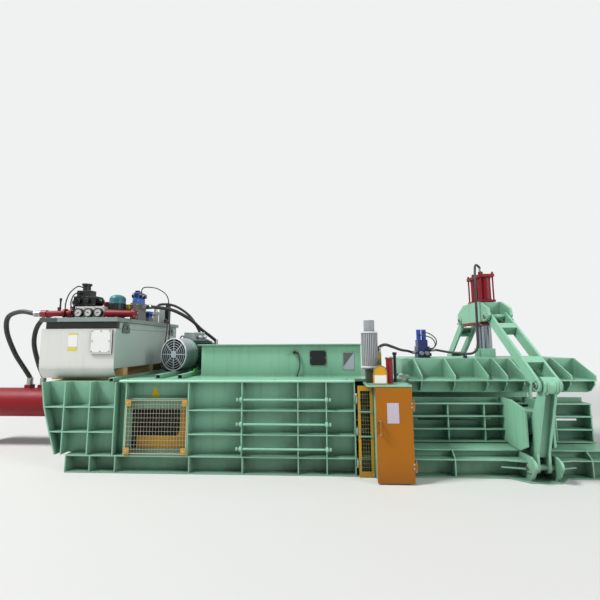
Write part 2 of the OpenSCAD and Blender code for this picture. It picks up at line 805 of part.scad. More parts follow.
// Mesh door over the wire slots.
guard_x0 = 414;
guard_x1 = 578;
guard_y0 = -half_w - 24;
guard_hinge = [guard_x0 - 12, guard_y0 + 4];
module guard_door() color(yellow) {
  difference() {
    slab(guard_x0, guard_x1, guard_y0, guard_y0 + 10, 6, 955);
    slab(guard_x0 + 30, guard_x1 - 34, guard_y0 - 1, guard_y0 + 11, 62, 900);
  }
  for (i = [1 : 3]) {
    slab(guard_x0 + 27 + 25 * i, guard_x0 + 32 + 25 * i, guard_y0 + 3, guard_y0 + 8, 62, 900);
  }
  for (i = [1 : 20]) {
    slab(guard_x0 + 30, guard_x1 - 34, guard_y0 + 3, guard_y0 + 8, 60 + 40 * i, 65 + 40 * i);
  }
  for (z = right_levels) {
    slab(guard_x0 + 6, guard_x1 - 4, guard_y0 - 8, guard_y0, z - 8, z + 8);
  }
  for (z = [150, 480, 810]) {
    difference() {
      union() {
        rod_z(z - 30, z + 30, 10, guard_hinge[0], guard_hinge[1]);
        slab(guard_hinge[0], guard_x0 + 10, guard_y0, guard_y0 + 6, z - 30, z + 30);
      }
      rod_z(z - 35, z + 35, 6 + clear, guard_hinge[0], guard_hinge[1]);
    }
  }
}

// Hinge pins of the doors, gates and platen, with the brackets that hold them.
gate_hinge = [1015, -645];
platen_hinge = [1012, 1002];
gate_lugs = [320, 520, 700];
module hinge_posts() color(steel) {
  for (z = [180, 780]) {
    rod_z(z - 60, z + 60, 7, door_hinge[0], door_hinge[1]);
    slab(cab_x1, door_hinge[0] + 7, door_hinge[1] - 7, cab_y0 + 40, z - 60, z - 38);
  }
  for (z = [150, 480, 810]) {
    rod_z(z - 50, z + 50, 6, guard_hinge[0], guard_hinge[1]);
    slab(guard_hinge[0] - 24, guard_hinge[0] + 6, guard_hinge[1] - 6, -half_w, z - 50, z - 33);
  }
  both_sides() {
    rod_z(floor_z, 800, 24, gate_hinge[0], gate_hinge[1]);
    for (z = gate_lugs) {
      slab(955, gate_hinge[0] + 24, gate_hinge[1] - 24, gate_hinge[1] + 24, z - 50, z - 20);
    }
    rod_y(-700, -420, 26, platen_hinge[0], platen_hinge[1]);
    for (y = [-690, -480]) {
      slab(channel_x0, platen_hinge[0] + 26, y, y + 40, deck_z - 50, deck_z + 22);
    }
  }
}

// Feet of the squeeze levers: two lugs, gussets and the foot pin.
lug_x = [squeeze_x - 140, squeeze_x + 115];
lug_t = 25;
module lever_foot() {
  difference() {
    lever_lugs();
    for (z = [0, base_h - rib_t]) {
      slab(lug_x[0] - 1, lug_x[1] + lug_t + 1, -half_w, 0, z, z + rib_t);
    }
  }
  lever_gussets();
}

module lever_lugs() {
  for (x = lug_x) {
    yz_plate(x, x + lug_t) {
      polygon([[-skin_y, 0], [-half_w - 80, 0], [-foot_y - 92, 70], [-foot_y - 142, 160],
        [-foot_y - 134, 214], [-foot_y - 60, 252], [-half_w, 256], [-skin_y, 255]]);
      translate([-foot_y - 84, 176]) circle(62);
    }
  }
}

module lever_gussets() {
  rod_x(lug_x[0] - 12, lug_x[1] + lug_t + 12, pin_r, -foot_y, foot_z);
  linear_extrude(15) {
    polygon([[lug_x[0] - 160, -half_w], [lug_x[0] - 10, -half_w - 130],
      [lug_x[1] + 35, -half_w - 130], [lug_x[1] + 180, -half_w]]);
  }
  for (z = [112, base_h - 10]) {
    translate([0, 0, z]) linear_extrude(14) {
      polygon([[lug_x[0] - 240, -half_w], [lug_x[0], -half_w - 60], [lug_x[0], -half_w]]);
      polygon([[lug_x[1] + lug_t + 240, -half_w], [lug_x[1] + lug_t, -half_w - 60],
        [lug_x[1] + lug_t, -half_w]]);
    }
  }
}

module lever_feet() color(mint) both_sides() {
  lever_foot();
}

// Squeeze lever: two cheek plates with a nose, a web and a boss at the top.
lever_x = [squeeze_x - 70, squeeze_x + 45];
cheek_t = 25;
nose = [-1030, 560];
module lever_outline() {
  foot = [-foot_y, foot_z];
  top = [-top_y, top_z];
  difference() {
    union() {
      circle_at(foot, 62);
      circle_at(top, 56);
      polygon([[-1358, 1010], [-1366, 960], [-1344, 900], [-1292, 714], [-1216, 475], [-1160, 285],
        [-1160, 140], [-1068, 140], [-1065, 210], [-1046, 300], [-1120, 470], nose + [-8, -34],
        nose + [-2, 26], [-1130, 660], [-1186, 775], [-1250, 905], [-1270, 1010]]);
      circle_at(nose + [-36, 0], 44);
    }
    circle_at(foot, pin_r + clear);
  }
}

module circle_at(p, r) {
  translate(p) circle(r);
}

module squeeze_lever() {
  for (x = lever_x) {
    yz_plate(x, x + cheek_t) lever_outline();
  }
  lean = atan2(top_y - foot_y, top_z - foot_z);
  translate([squeeze_x, -foot_y, foot_z]) rotate([lean, 0, 0]) {
    slab(-50, 50, 10, 28, 100, 770);
  }
  rod_x(squeeze_x - 75, squeeze_x + 75, 84, -top_y, top_z);
  rod_x(squeeze_x - 128, squeeze_x + 128, pin_r, -top_y, top_z);
}

module lever_front() color(mint) {
  squeeze_lever();
}

module lever_rear() color(mint) {
  mirror([0, 1, 0]) squeeze_lever();
}

// Squeeze link: two bars with cross plates, open eyes at the lever's pin.
link_x = [squeeze_x - 112, squeeze_x + 87];
module squeeze_link() {
  high = [-cross_y, cross_z];
  low = [-top_y, top_z];
  run = norm(low - high);
  slope = atan2(high[1] - low[1], high[0] - low[0]);
  for (x = link_x) {
    yz_plate(x, x + cheek_t) {
      difference() {
        round_bar_2d(low, high, 62);
        circle_at(low, eye_r);
        circle_at(high, pin_r + clear);
      }
    }
  }
  for (s = [0.27, 0.78]) {
    at = low + (high - low) * s;
    translate([link_x[0], at[0], at[1]]) rotate([slope, 0, 0]) {
      slab(0, link_x[1] - link_x[0] + cheek_t, -46, 46, 44, 60);
      slab(0, link_x[1] - link_x[0] + cheek_t, -46, -32, -50, 60);
    }
  }
}

module link_front() color(mint) {
  squeeze_link();
}

module link_rear() color(mint) {
  mirror([0, 1, 0]) squeeze_link();
}

// Crosshead: two six sided plates, pins and the plates between them.
plate_x = [squeeze_x - 150, squeeze_x + 120];
plate_t = 30;
module crosshead_outline() {
  polygon([[-265, 1955], [-120, 1962], [120, 1962], [265, 1955], [480, 1850], [505, 1760], [470, 1706],
    [400, 1690], [-400, 1690], [-470, 1706], [-505, 1760], [-480, 1850]]);
}

cyl_pair_y = 106;
squeeze_barrel_r = 82;
module crosshead() color(mint) {
  for (x = plate_x) {
    yz_plate(x, x + plate_t) crosshead_outline();
  }
  both_sides() {
    rod_x(plate_x[0] - 14, plate_x[1] + plate_t + 14, pin_r, -cross_y, cross_z);
    rod_x(plate_x[0] - 8, plate_x[0], 62, -cross_y, cross_z);
    rod_x(plate_x[1] + plate_t, plate_x[1] + plate_t + 8, 62, -cross_y, cross_z);
    slab(plate_x[0] + plate_t, plate_x[1], -262, -240, 1700, 1950);
  }
  slab(plate_x[0] + plate_t, plate_x[1], -10, 10, 1700, 1950);
}

// Pair of squeeze cylinders held between the crosshead plates.
squeeze_bore_r = 64;
squeeze_rod_r = 54;
barrel_top = 2345;
module squeeze_cylinders() color(crimson) {
  difference() {
    union() {
      both_sides() {
        rod_z(1660, barrel_top, squeeze_barrel_r, squeeze_x, -cyl_pair_y);
        translate([squeeze_x, -cyl_pair_y, barrel_top - 40]) {
          translate([-100, -100, 0]) cube([200, 200, 40]);
        }
        for (sx = [-1, 1]) for (sy = [-1, 1]) {
          translate([squeeze_x + sx * 82, -cyl_pair_y + sy * 82, 1980]) cylinder(h = 395, r = 10);
          translate([squeeze_x + sx * 82, -cyl_pair_y + sy * 82, barrel_top]) hex_head(16, 20);
        }
        slab(squeeze_x - 100, squeeze_x + 100, -cyl_pair_y - 100, -cyl_pair_y + 100, 1964, 1992);
        rod_z(barrel_top, barrel_top + 45, 30, squeeze_x - 36, -cyl_pair_y);
      }
      slab(squeeze_x - 160, squeeze_x + 160, -300, 300, 1658, 1689);
    }
    both_sides() {
      rod_z(1720, barrel_top - 60, squeeze_bore_r, squeeze_x, -cyl_pair_y);
      rod_z(1600, 1800, squeeze_rod_r + slide_gap, squeeze_x, -cyl_pair_y);
    }
  }
}

module squeeze_rods() color(steel) both_sides() {
  rod_z(box_z + 1, 1885, squeeze_rod_r, squeeze_x, -cyl_pair_y);
  rod_z(1885, 1975, squeeze_bore_r - slide_gap, squeeze_x, -cyl_pair_y);
}

// Top platen: pressing box, flange, sloped ribs, centre box and rod sockets.
platen_x0 = 1050;
platen_x1 = 3182;
platen_half = 742;
box_half = 390;
box_z = 1220;
platen_ribs = [1200, 1585, 1965, 2180, 2380, 2620, 2900, platen_x1 - rib_t];
module top_platen() color(mint) {
  slab(platen_x0, platen_x1, -platen_half, platen_half, 970, 986);
  slab(platen_x0, platen_x1, -604, 604, 830, 846);
  slab(platen_x0, platen_x1, -box_half, box_half, box_z - 16, box_z);
  slab(platen_x0, platen_x0 + 20, -604, 604, 830, 986);
  both_sides() {
    slab(platen_x0, platen_x1, -box_half, -box_half + 16, 986, box_z);
    slab(platen_x0, platen_x1, -604, -588, 846, 970);
    for (x = platen_ribs) {
      yz_plate(x, x + rib_t) {
        polygon([[-box_half, 986], [-platen_half, 986], [-platen_half, 1034], [-box_half - 20, box_z],
          [-box_half, box_z]]);
      }
      yz_plate(x, x + rib_t) {
        polygon([[-604, 846], [-604, 970], [-715, 970], [-715, 930], [-640, 846]]);
      }
    }
    difference() {
      rod_z(box_z, box_z + 118, 86, squeeze_x, -cyl_pair_y);
      rod_z(box_z + 1, box_z + 119, squeeze_rod_r, squeeze_x, -cyl_pair_y);
    }
    difference() {
      union() {
        rod_y(-640, -530, 44, platen_hinge[0], platen_hinge[1]);
        slab(platen_hinge[0], platen_x0 + 30, -640, -530, 958, 1030);
      }
      rod_y(-645, -525, 26 + clear, platen_hinge[0], platen_hinge[1]);
    }
  }
  for (x = [platen_x0, platen_x1 - rib_t]) {
    slab(x, x + rib_t, -box_half, box_half, 986, box_z);
  }
  for (x = [1600, 2150, 2400, 2800]) {
    slab(x, x + rib_t, -box_half, box_half, 986, box_z - 16);
  }
}

// Valve block on the platen with its solenoids.
module platen_valve() color([0.10, 0.14, 0.30]) {
  slab(1330, 1490, -160, 10, box_z, box_z + 150);
  slab(1340, 1470, -140, -10, box_z + 150, box_z + 240);
  for (x = [1370, 1440]) {
    rod_z(box_z + 240, box_z + 380, 30, x, -75);
    rod_y(-215, -160, 26, x, box_z + 60);
  }
  rod_x(1490, 1530, 22, -75, box_z + 100);
  rod_x(1490, 1530, 22, -75, box_z + 40);
  slab(1880, 1920, -300, -260, box_z, box_z + 36);
}

// Side gate of the channel: pressing plate with ribs and the lever's brackets.
gate_x0 = 1070;
gate_x1 = 3110;
gate_out = 720;
gate_levels = [288, 425, 569, 711];
module side_gate() {
  difference() {
    slab(gate_x0, gate_x1, -chamber_half - liner_t, -chamber_half, floor_z + 6, 765);
    slab(1180, 1860, -chamber_half - 30, -chamber_half + 10, 495, 520);
    slab(1930, 2060, -chamber_half - 30, -chamber_half + 10, 495, 520);
    slab(2600, 3040, -chamber_half - 30, -chamber_half + 10, 495, 520);
  }
  for (z = gate_levels) {
    slab(gate_x0, gate_x1, -gate_out, -chamber_half - liner_t, z - 7, z + 7);
  }
  for (x = [gate_x0, 1490, 1905, 2700, gate_x1 - rib_t]) {
    slab(x, x + rib_t, -gate_out + 12, -chamber_half - liner_t, 288, 711);
  }
  for (x = [squeeze_x - 150, squeeze_x + 125]) {
    yz_plate(x, x + cheek_t) {
      polygon([[-600, 765], [-640, 780], [-860, 780], [-1140, 718], [-1132, 343], [-1010, 276],
        [-820, 276], [-720, 300], [-600, 300]]);
    }
  }
  slab(squeeze_x - 125, squeeze_x + 125, -1014, -992, 440, 680);
  slab(squeeze_x - 125, squeeze_x + 125, -992, -gate_out, 660, 680);
  slab(squeeze_x - 125, squeeze_x + 125, -992, -gate_out, 440, 460);
  rod_z(718, 922, 20, squeeze_x + 170, -700);
  for (z = gate_lugs) {
    difference() {
      union() {
        rod_z(z - 18, z + 45, 42, gate_hinge[0], gate_hinge[1]);
        slab(gate_hinge[0], gate_x0 + 10, gate_hinge[1] - 20, gate_hinge[1] + 42, z - 18, z + 45);
      }
      rod_z(z - 20, z + 50, 24 + clear, gate_hinge[0], gate_hinge[1]);
    }
  }
}

module side_gate_front() color(mint) {
  side_gate();
}

module side_gate_rear() color(mint) {
  mirror([0, 1, 0]) side_gate();
}

// Routes of the hoses, point by point along the real ones.
main_route_a = [[-3641, -600, 1825], [-3730, -600, 1825], [-3980, -540, 1860], [-4260, -420, 1800],
  [-4370, -300, 1600], [-4330, -180, 1300], [-4250, -60, 1050], [-4220, 0, 930], [-4220, 0, 845]];
main_route_b = [[-3391, -300, 1830], [-3470, -300, 1830], [-3740, -300, 1835], [-3960, -250, 1700],
  [-4060, -180, 1450], [-4050, -80, 1150], [-4020, 0, 950], [-4020, 0, 845]];
pump_route_a = [[-2379, -310, 1930], [-2310, -310, 1930], [-2080, -150, 1900], [-1900, 80, 1780],
  [-1800, 300, 1640], [-1690, 440, 1530], [-1632, 524, 1460], [-1632, 524, 1412]];
pump_route_b = [[-2500, 240, 1911], [-2500, 240, 1960], [-2440, 280, 2030], [-2250, 380, 2010],
  [-2040, 500, 1840], [-1900, 590, 1560], [-1850, 655, 1370],
  [-1829, 649, 1290], [-1773, 629, 1282], [-1719, 609, 1282]];

// Electric leads of the valves, the level sensor and the motor, and a thin return hose.
valve_lead_a = [[-3352, -540, 1746], [-3352, -540, 1800], [-3400, -500, 1950], [-3400, -440, 2110],
  [-3340, -380, 2215], [-3322, -300, 2222], [-3297, -300, 2222]];
valve_lead_b = [[-3290, -470, 1746], [-3290, -470, 1800], [-3340, -480, 1960], [-3335, -450, 2080],
  [-3310, -410, 2126], [-3290, -385, 2130], [-3290, -361, 2130]];
sensor_lead = [[-284, -625, 1300], [-262, -625, 1300], [-244, -630, 1230], [-240, -634, 1140],
  [-262, -634, 1062], [-272, -634, 1040], [-272, -634, 1016]];
motor_lead_a = [[-2440, 420, 1746], [-2440, 420, 1790], [-2400, 400, 1800], [-2372, 380, 1700],
  [-2372, 330, 1450], [-2376, 260, 1200], [-2350, 200, 1070], [-2240, 150, 1034], [-2120, 110, 1060],
  [-2066, 80, 1200], [-2060, 50, 1400], [-2010, 50, 1530], [-1945, 33, 1517], [-1917, 23, 1517]];
motor_lead_b = [[-2440, 470, 1746], [-2440, 470, 1780], [-2390, 450, 1780], [-2345, 420, 1680],
  [-2340, 370, 1440], [-2336, 310, 1190], [-2310, 250, 1070], [-2230, 190, 1034], [-2100, 160, 1060],
  [-2040, 150, 1200], [-2034, 120, 1420], [-1985, 120, 1530], [-1920, 97, 1517], [-1892, 87, 1517]];
return_route = [[-2485, -260, 2126], [-2485, -260, 2160], [-2480, -180, 2225], [-2462, 150, 2262],
  [-2462, 480, 2220], [-2475, 630, 2130], [-2475, 630, 2076]];
module oil_hoses() color(black) {
  hose(valve_lead_a, 8, 3);
  hose(valve_lead_b, 8, 3);
  hose(sensor_lead, 6, 2);
  hose(motor_lead_a, 9, 3);
  hose(motor_lead_b, 9, 3);
  hose(return_route, 8, 3);
  hose(main_route_a, 30);
  hose(main_route_b, 30);
  hose(pump_route_a, 24);
  hose(pump_route_b, 19);
}

station_route = [[675, -990, 1315], [675, -990, 1370], [760, -900, 1400], [900, -650, 1370],
  [1060, -350, 1330], [1200, -130, 1310], [1280, -75, 1290], [1328, -75, 1290]];
module station_hoses() color(black) {
  hose(station_route, 17);
}

squeeze_route = [[1531, -75, 1320], [1600, -75, 1320], [1750, -170, 1290], [1880, -280, 1275],
  [1990, -330, 1290], [2050, -330, 1400], [2068, -310, 1800], [2080, -300, 2200], [2110, -250, 2400],
  [2170, -150, 2480], [2229, -108, 2460], [2244, -106, 2420], [2244, -106, 2391]];
module squeeze_hose() color(black) {
  hose(squeeze_route, 15);
}

platen_lead_a = [[1440, -106, 1560], [1440, -130, 1560], [1490, -175, 1540], [1560, -185, 1480],
  [1570, -190, 1410], [1530, -200, 1355], [1480, -190, 1345], [1480, -161, 1345]];
platen_lead_b = [[1370, -106, 1520], [1370, -130, 1520], [1400, -185, 1520], [1500, -225, 1480],
  [1540, -235, 1400], [1500, -235, 1340], [1455, -205, 1335], [1455, -161, 1335]];
module platen_leads() color(black) {
  hose(platen_lead_a, 7, 3);
  hose(platen_lead_b, 7, 3);
}

base_frame();
chamber_floor();
chamber_wall_front();
chamber_wall_rear();
bulkheads();
body_panel_front();
body_panel_rear();
deck_plate();
cylinder_end_plate();
hopper();
hopper_plates();
window_guard();
tie_bars();
fixed_blade();
main_cylinder();
cylinder_gland();
piston_rod();
ram();
ram_blade();
ram_wear_strips();
oil_tank();
tank_lid();
tank_supports();
gauge_panel();
main_valve();
red_pipework();
hand_valve_lever();
pilot_motor();
valve_block();
blue_valves();
tank_fittings();
motor_rails();
motor_body();
motor_cowl();
motor_fan();
oil_pump();
cabinet();
cabinet_door();
twister_shaft();
station_drive();
arch_guard();
guard_door();
hinge_posts();
lever_feet();
lever_front();
lever_rear();
link_front();
link_rear();
crosshead();
squeeze_cylinders();
top_platen();
squeeze_rods();
platen_valve();
side_gate_front();
side_gate_rear();
oil_hoses();
lifting_eyes();
station_hoses();
squeeze_hose();
platen_leads();
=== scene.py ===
import math
import bpy
from mathutils import Matrix, Vector


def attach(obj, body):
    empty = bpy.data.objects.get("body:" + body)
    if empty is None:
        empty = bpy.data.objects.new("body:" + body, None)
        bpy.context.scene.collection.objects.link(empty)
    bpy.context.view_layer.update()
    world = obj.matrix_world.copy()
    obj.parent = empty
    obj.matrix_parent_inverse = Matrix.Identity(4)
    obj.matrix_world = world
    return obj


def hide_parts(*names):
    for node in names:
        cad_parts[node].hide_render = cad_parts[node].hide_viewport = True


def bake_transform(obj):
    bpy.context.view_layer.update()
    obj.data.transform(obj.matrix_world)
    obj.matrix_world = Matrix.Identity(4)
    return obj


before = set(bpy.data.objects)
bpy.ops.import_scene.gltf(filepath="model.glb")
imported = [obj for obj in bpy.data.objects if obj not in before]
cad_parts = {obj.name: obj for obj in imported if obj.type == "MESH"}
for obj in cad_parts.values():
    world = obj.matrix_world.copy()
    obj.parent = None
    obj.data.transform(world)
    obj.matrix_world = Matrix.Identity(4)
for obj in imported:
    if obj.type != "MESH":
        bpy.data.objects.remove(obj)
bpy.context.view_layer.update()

# Camera. A phone camera with a 21 mm equivalent lens, held at eye height in front
# of the machine's middle and tipped up by seven degrees.
PHOTO_LENS = 21.336
PHOTO_PLACE = Vector((0.0, -5.081, 1.42))
yaw, pitch, roll = (math.radians(a) for a in (3.009, 6.953, 0.296))
level_right = Vector((math.cos(yaw), math.sin(yaw), 0))
ahead = Vector((-math.sin(yaw) * math.cos(pitch), math.cos(yaw) * math.cos(pitch), math.sin(pitch)))
level_down = ahead.cross(level_right)
right = math.cos(roll) * level_right + math.sin(roll) * level_down
down = math.cos(roll) * level_down - math.sin(roll) * level_right
lens = bpy.data.cameras.new("photo_camera")
lens.sensor_width = 36.0
lens.lens = PHOTO_LENS
lens.clip_end = 400
camera = bpy.data.objects.new("photo_camera", lens)
bpy.context.collection.objects.link(camera)
camera.matrix_world = Matrix.Translation(PHOTO_PLACE) @ Matrix((right, -down, -ahead)).transposed().to_4x4()
bpy.context.scene.camera = camera


# Hydraulic hoses. Black rubber over steel braid, crimped into swaged ends and screwed
# on at both sides; each follows the same points as its solid in the source, in metres.


# add() puts a node in a tree. A setting may be a value, a socket, a node, whose first
# output is then meant, or a list of nodes for a socket that takes several.
def add(tree, kind, settings):
    node = tree.nodes.new(kind)
    for name, value in settings.items():
        if isinstance(name, str) and hasattr(node, name):
            setattr(node, name, value)
        elif isinstance(value, (bpy.types.NodeSocket, bpy.types.Node, list)):
            for source in value if isinstance(value, list) else [value]:
                output = source.outputs[0] if isinstance(source, bpy.types.Node) else source
                tree.links.new(output, node.inputs[name])
        else:
            node.inputs[name].default_value = value
    return node


def linear(code):
    parts = [int(code[i:i + 2], 16) / 255 for i in (0, 2, 4)]
    return (*[c / 12.92 if c <= 0.04045 else ((c + 0.055) / 1.055) ** 2.4 for c in parts], 1.0)


def new_material(name):
    material = bpy.data.materials.new(name)
    material.use_nodes = True
    material.node_tree.nodes.clear()
    return material, material.node_tree


# Extruded nitrile cover: nearly black and dull, with the fine print of the cloth
# tape it was cured in. The tape's 3 mm turns are drawn at 6 mm so that they show.
hose_rubber, tree = new_material("extruded_nitrile_hose_cover")
cover = add(tree, "ShaderNodeUVMap", {})
turns = add(tree, "ShaderNodeTexWave", {"Vector": cover, "Scale": 26.0, "Distortion": 0.6, "Detail": 1.0})
spot = add(tree, "ShaderNodeTexCoord", {}).outputs["Object"]
dust = add(tree, "ShaderNodeTexNoise", {"Vector": spot, "Scale": 14.0, "Detail": 4.0})
shade = add(tree, "ShaderNodeMix", {"data_type": "RGBA", 0: dust, 6: linear("1B1B1C"), 7: linear("3A3833")})
printed = add(tree, "ShaderNodeBump", {"Height": turns.outputs[1], "Strength": 0.25, "Distance": 0.001})
skin = add(tree, "ShaderNodeBsdfPrincipled", {"Base Color": shade.outputs[2], "Roughness": 0.5,
                                              "Normal": printed})
add(tree, "ShaderNodeOutputMaterial", {"Surface": skin})

# Zinc plate on sockets, bolts and washers: a bright grey metal with a dull bloom where
# hands and spanners have been.
zinc_plate, tree = new_material("zinc_plated_steel")
spot = add(tree, "ShaderNodeTexCoord", {}).outputs["Object"]
bloom = add(tree, "ShaderNodeTexNoise", {"Vector": spot, "Scale": 60.0, "Detail": 3.0})
dull = add(tree, "ShaderNodeMapRange", {"Value": bloom, "To Min": 0.24, "To Max": 0.5})
tone = add(tree, "ShaderNodeMix", {"data_type": "RGBA", 0: bloom, 6: linear("8F928F"), 7: linear("B9BCB8")})
skin = add(tree, "ShaderNodeBsdfPrincipled", {"Base Color": tone.outputs[2], "Metallic": 1.0,
                                              "Roughness": dull})
add(tree, "ShaderNodeOutputMaterial", {"Surface": skin})

SHARP_EDGE = math.radians(32)


def mesh_piece(name, verts, faces, material):
    mesh = bpy.data.meshes.new(name)
    mesh.from_pydata([tuple(v) for v in verts], [], faces)
    mesh.materials.append(material)
    mesh.polygons.foreach_set("use_smooth", [True] * len(mesh.polygons))
    mesh.set_sharp_from_angle(angle=SHARP_EDGE)
    mesh.update()
    piece = bpy.data.objects.new(name, mesh)
    bpy.context.collection.objects.link(piece)
    return piece


# A round skin along a line of points, one radius for each point. With a heading it
# is a turned part, whose rings all stand square to that heading.
def round_skin(line, radii, sides, heading=None):
    verts, faces, lengths = [], [], [0.0]
    side = None
    for i, here in enumerate(line):
        way = heading or (line[min(i + 1, len(line) - 1)] - line[max(i - 1, 0)]).normalized()
        if side is None:
            side = way.orthogonal()
        side = (side - side.dot(way) * way).normalized()
        other = way.cross(side)
        if i:
            lengths.append(lengths[-1] + (here - line[i - 1]).length)
        for k in range(sides):
            a = math.tau * k / sides
            verts.append(here + radii[i] * (math.cos(a) * side + math.sin(a) * other))
    for i in range(len(line) - 1):
        for k in range(sides):
            m = (k + 1) % sides
            faces.append((i * sides + k, i * sides + m, (i + 1) * sides + m, (i + 1) * sides + k))
    faces.append(tuple(range(sides - 1, -1, -1)))
    faces.append(tuple((len(line) - 1) * sides + k for k in range(sides)))
    return verts, faces, lengths


def turned(foot, heading, profile, sides=28):
    heading = Vector(heading).normalized()
    line = [Vector(foot) + heading * along for along, _ in profile]
    return round_skin(line, [r for _, r in profile], sides, heading)[:2]


def joined(name, parts, material, body):
    verts, faces = [], []
    for v, f in parts:
        faces += [tuple(i + len(verts) for i in face) for face in f]
        verts += [tuple(q) for q in v]
    piece = mesh_piece(name, verts, faces, material)
    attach(piece, body)
    return piece


# A smooth curve through the route's points, with the tape's print laid along it.
def hose(name, points, radius, steps, sides, material):
    p = [Vector(q) for q in points]
    line = []
    for i in range(len(p) - 1):
        a, b, c, d = p[max(i - 1, 0)], p[i], p[i + 1], p[min(i + 2, len(p) - 1)]
        for k in range(steps):
            t = k / steps
            line.append(0.5 * (2 * b + (c - a) * t + (2 * a - 5 * b + 4 * c - d) * t ** 2
                               + (3 * b - a - 3 * c + d) * t ** 3))
    line.append(p[-1])
    verts, faces, lengths = round_skin(line, [radius] * len(line), sides)
    piece = mesh_piece(name, verts, faces, material)
    uv = piece.data.uv_layers.new(name="UVMap").data
    for face in piece.data.polygons:
        for loop in face.loop_indices:
            v = piece.data.loops[loop].vertex_index
            uv[loop].uv = (lengths[v // sides], (v % sides) / sides * 0.1)
    return piece


# A swaged end's profile is given in hose radii: the hexagon's foot, then three crimps.
def swaged_end(tip, heading, radius):
    profile = [(0.0, 0.7), (0.0, 1.34), (0.9, 1.34), (0.9, 1.12), (1.1, 1.12), (1.1, 1.3), (1.25, 1.3),
               (1.25, 1.22), (1.5, 1.22), (1.5, 1.3), (1.75, 1.3), (1.75, 1.22), (2.0, 1.22),
               (2.0, 1.3), (3.1, 1.3), (3.3, 1.08), (3.3, 1.005)]
    return turned(tip, heading, [(a * radius, r * radius) for a, r in profile], 18)


def at_both_ends(fitting, route, radius):
    return [fitting(route[0], Vector(route[1]) - Vector(route[0]), radius),
            fitting(route[-1], Vector(route[-2]) - Vector(route[-1]), radius)]


main_route_a = [(-3.641, -0.6, 1.825), (-3.73, -0.6, 1.825), (-3.98, -0.54, 1.86), (-4.26, -0.42, 1.8),
                (-4.37, -0.3, 1.6), (-4.33, -0.18, 1.3), (-4.25, -0.06, 1.05), (-4.22, 0, 0.93),
                (-4.22, 0, 0.845)]
main_route_b = [(-3.391, -0.3, 1.83), (-3.47, -0.3, 1.83), (-3.74, -0.3, 1.835), (-3.96, -0.25, 1.7),
                (-4.06, -0.18, 1.45), (-4.05, -0.08, 1.15), (-4.02, 0, 0.95), (-4.02, 0, 0.845)]
pump_route_a = [(-2.379, -0.31, 1.93), (-2.31, -0.31, 1.93), (-2.08, -0.15, 1.9), (-1.9, 0.08, 1.78),
                (-1.8, 0.3, 1.64), (-1.69, 0.44, 1.53), (-1.632, 0.524, 1.46), (-1.632, 0.524, 1.412)]
pump_route_b = [(-2.5, 0.24, 1.911), (-2.5, 0.24, 1.96), (-2.44, 0.28, 2.03), (-2.25, 0.38, 2.01),
                (-2.04, 0.5, 1.84), (-1.9, 0.59, 1.56), (-1.85, 0.655, 1.37), (-1.829, 0.649, 1.29),
                (-1.773, 0.629, 1.282), (-1.719, 0.609, 1.282)]
station_route = [(0.675, -0.99, 1.315), (0.675, -0.99, 1.37), (0.76, -0.9, 1.4), (0.9, -0.65, 1.37),
                 (1.06, -0.35, 1.33), (1.2, -0.13, 1.31), (1.28, -0.075, 1.29), (1.328, -0.075, 1.29)]
squeeze_route = [(1.531, -0.075, 1.32), (1.6, -0.075, 1.32), (1.75, -0.17, 1.29), (1.88, -0.28, 1.275),
                 (1.99, -0.33, 1.29), (2.05, -0.33, 1.4), (2.068, -0.31, 1.8), (2.08, -0.3, 2.2),
                 (2.11, -0.25, 2.4), (2.17, -0.15, 2.48), (2.229, -0.108, 2.46), (2.244, -0.106, 2.42),
                 (2.244, -0.106, 2.391)]
STATION_RADIUS, SQUEEZE_RADIUS = 0.017, 0.015
HOSE_STEPS, HOSE_SIDES = 14, 20
fixed_ends = []
for name, route, radius in (("main_hose_a", main_route_a, 0.03), ("main_hose_b", main_route_b, 0.03),
                            ("pump_hose_a", pump_route_a, 0.024), ("pump_hose_b", pump_route_b, 0.019)):
    piece = hose(name, route, radius, HOSE_STEPS, HOSE_SIDES, hose_rubber)
    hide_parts("oil_hoses")
    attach(piece, "frame")
    fixed_ends += at_both_ends(swaged_end, route, radius)
station_ends = at_both_ends(swaged_end, station_route, STATION_RADIUS)
squeeze_ends = at_both_ends(swaged_end, squeeze_route, SQUEEZE_RADIUS)
joined("hose_ends_frame", fixed_ends + station_ends[:1], zinc_plate, "frame")

station_hose = hose("station_hose", station_route, STATION_RADIUS, HOSE_STEPS, HOSE_SIDES, hose_rubber)
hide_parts("station_hoses")
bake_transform(station_hose)
joined("hose_ends_platen", station_ends[1:] + squeeze_ends[:1], zinc_plate, "top_platen")

squeeze_hose = hose("squeeze_cylinder_hose", squeeze_route, SQUEEZE_RADIUS, HOSE_STEPS, HOSE_SIDES,
                    hose_rubber)
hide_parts("squeeze_hose")
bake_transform(squeeze_hose)
joined("hose_ends_crosshead", squeeze_ends[1:], zinc_plate, "crosshead")

# Electric leads of the valves, the level sensor and the motor, and the thin return hose
# beside them. Round, in an extruded PVC jacket, held by a gland or a plug at both ends.
# The jacket is black and half glossy, scuffed paler where it has been pulled through.
lead_jacket, tree = new_material("extruded_pvc_lead_jacket")
spot = add(tree, "ShaderNodeTexCoord", {}).outputs["Object"]
scuff = add(tree, "ShaderNodeTexNoise", {"Vector": spot, "Scale": 30.0, "Detail": 4.0})
tone = add(tree, "ShaderNodeMix", {"data_type": "RGBA", 0: scuff, 6: linear("161617"), 7: linear("2C2C2E")})
smear = add(tree, "ShaderNodeMapRange", {"Value": scuff, "To Min": 0.32, "To Max": 0.5})
skin = add(tree, "ShaderNodeBsdfPrincipled", {"Base Color": tone.outputs[2], "Roughness": smear})
add(tree, "ShaderNodeOutputMaterial", {"Surface": skin})

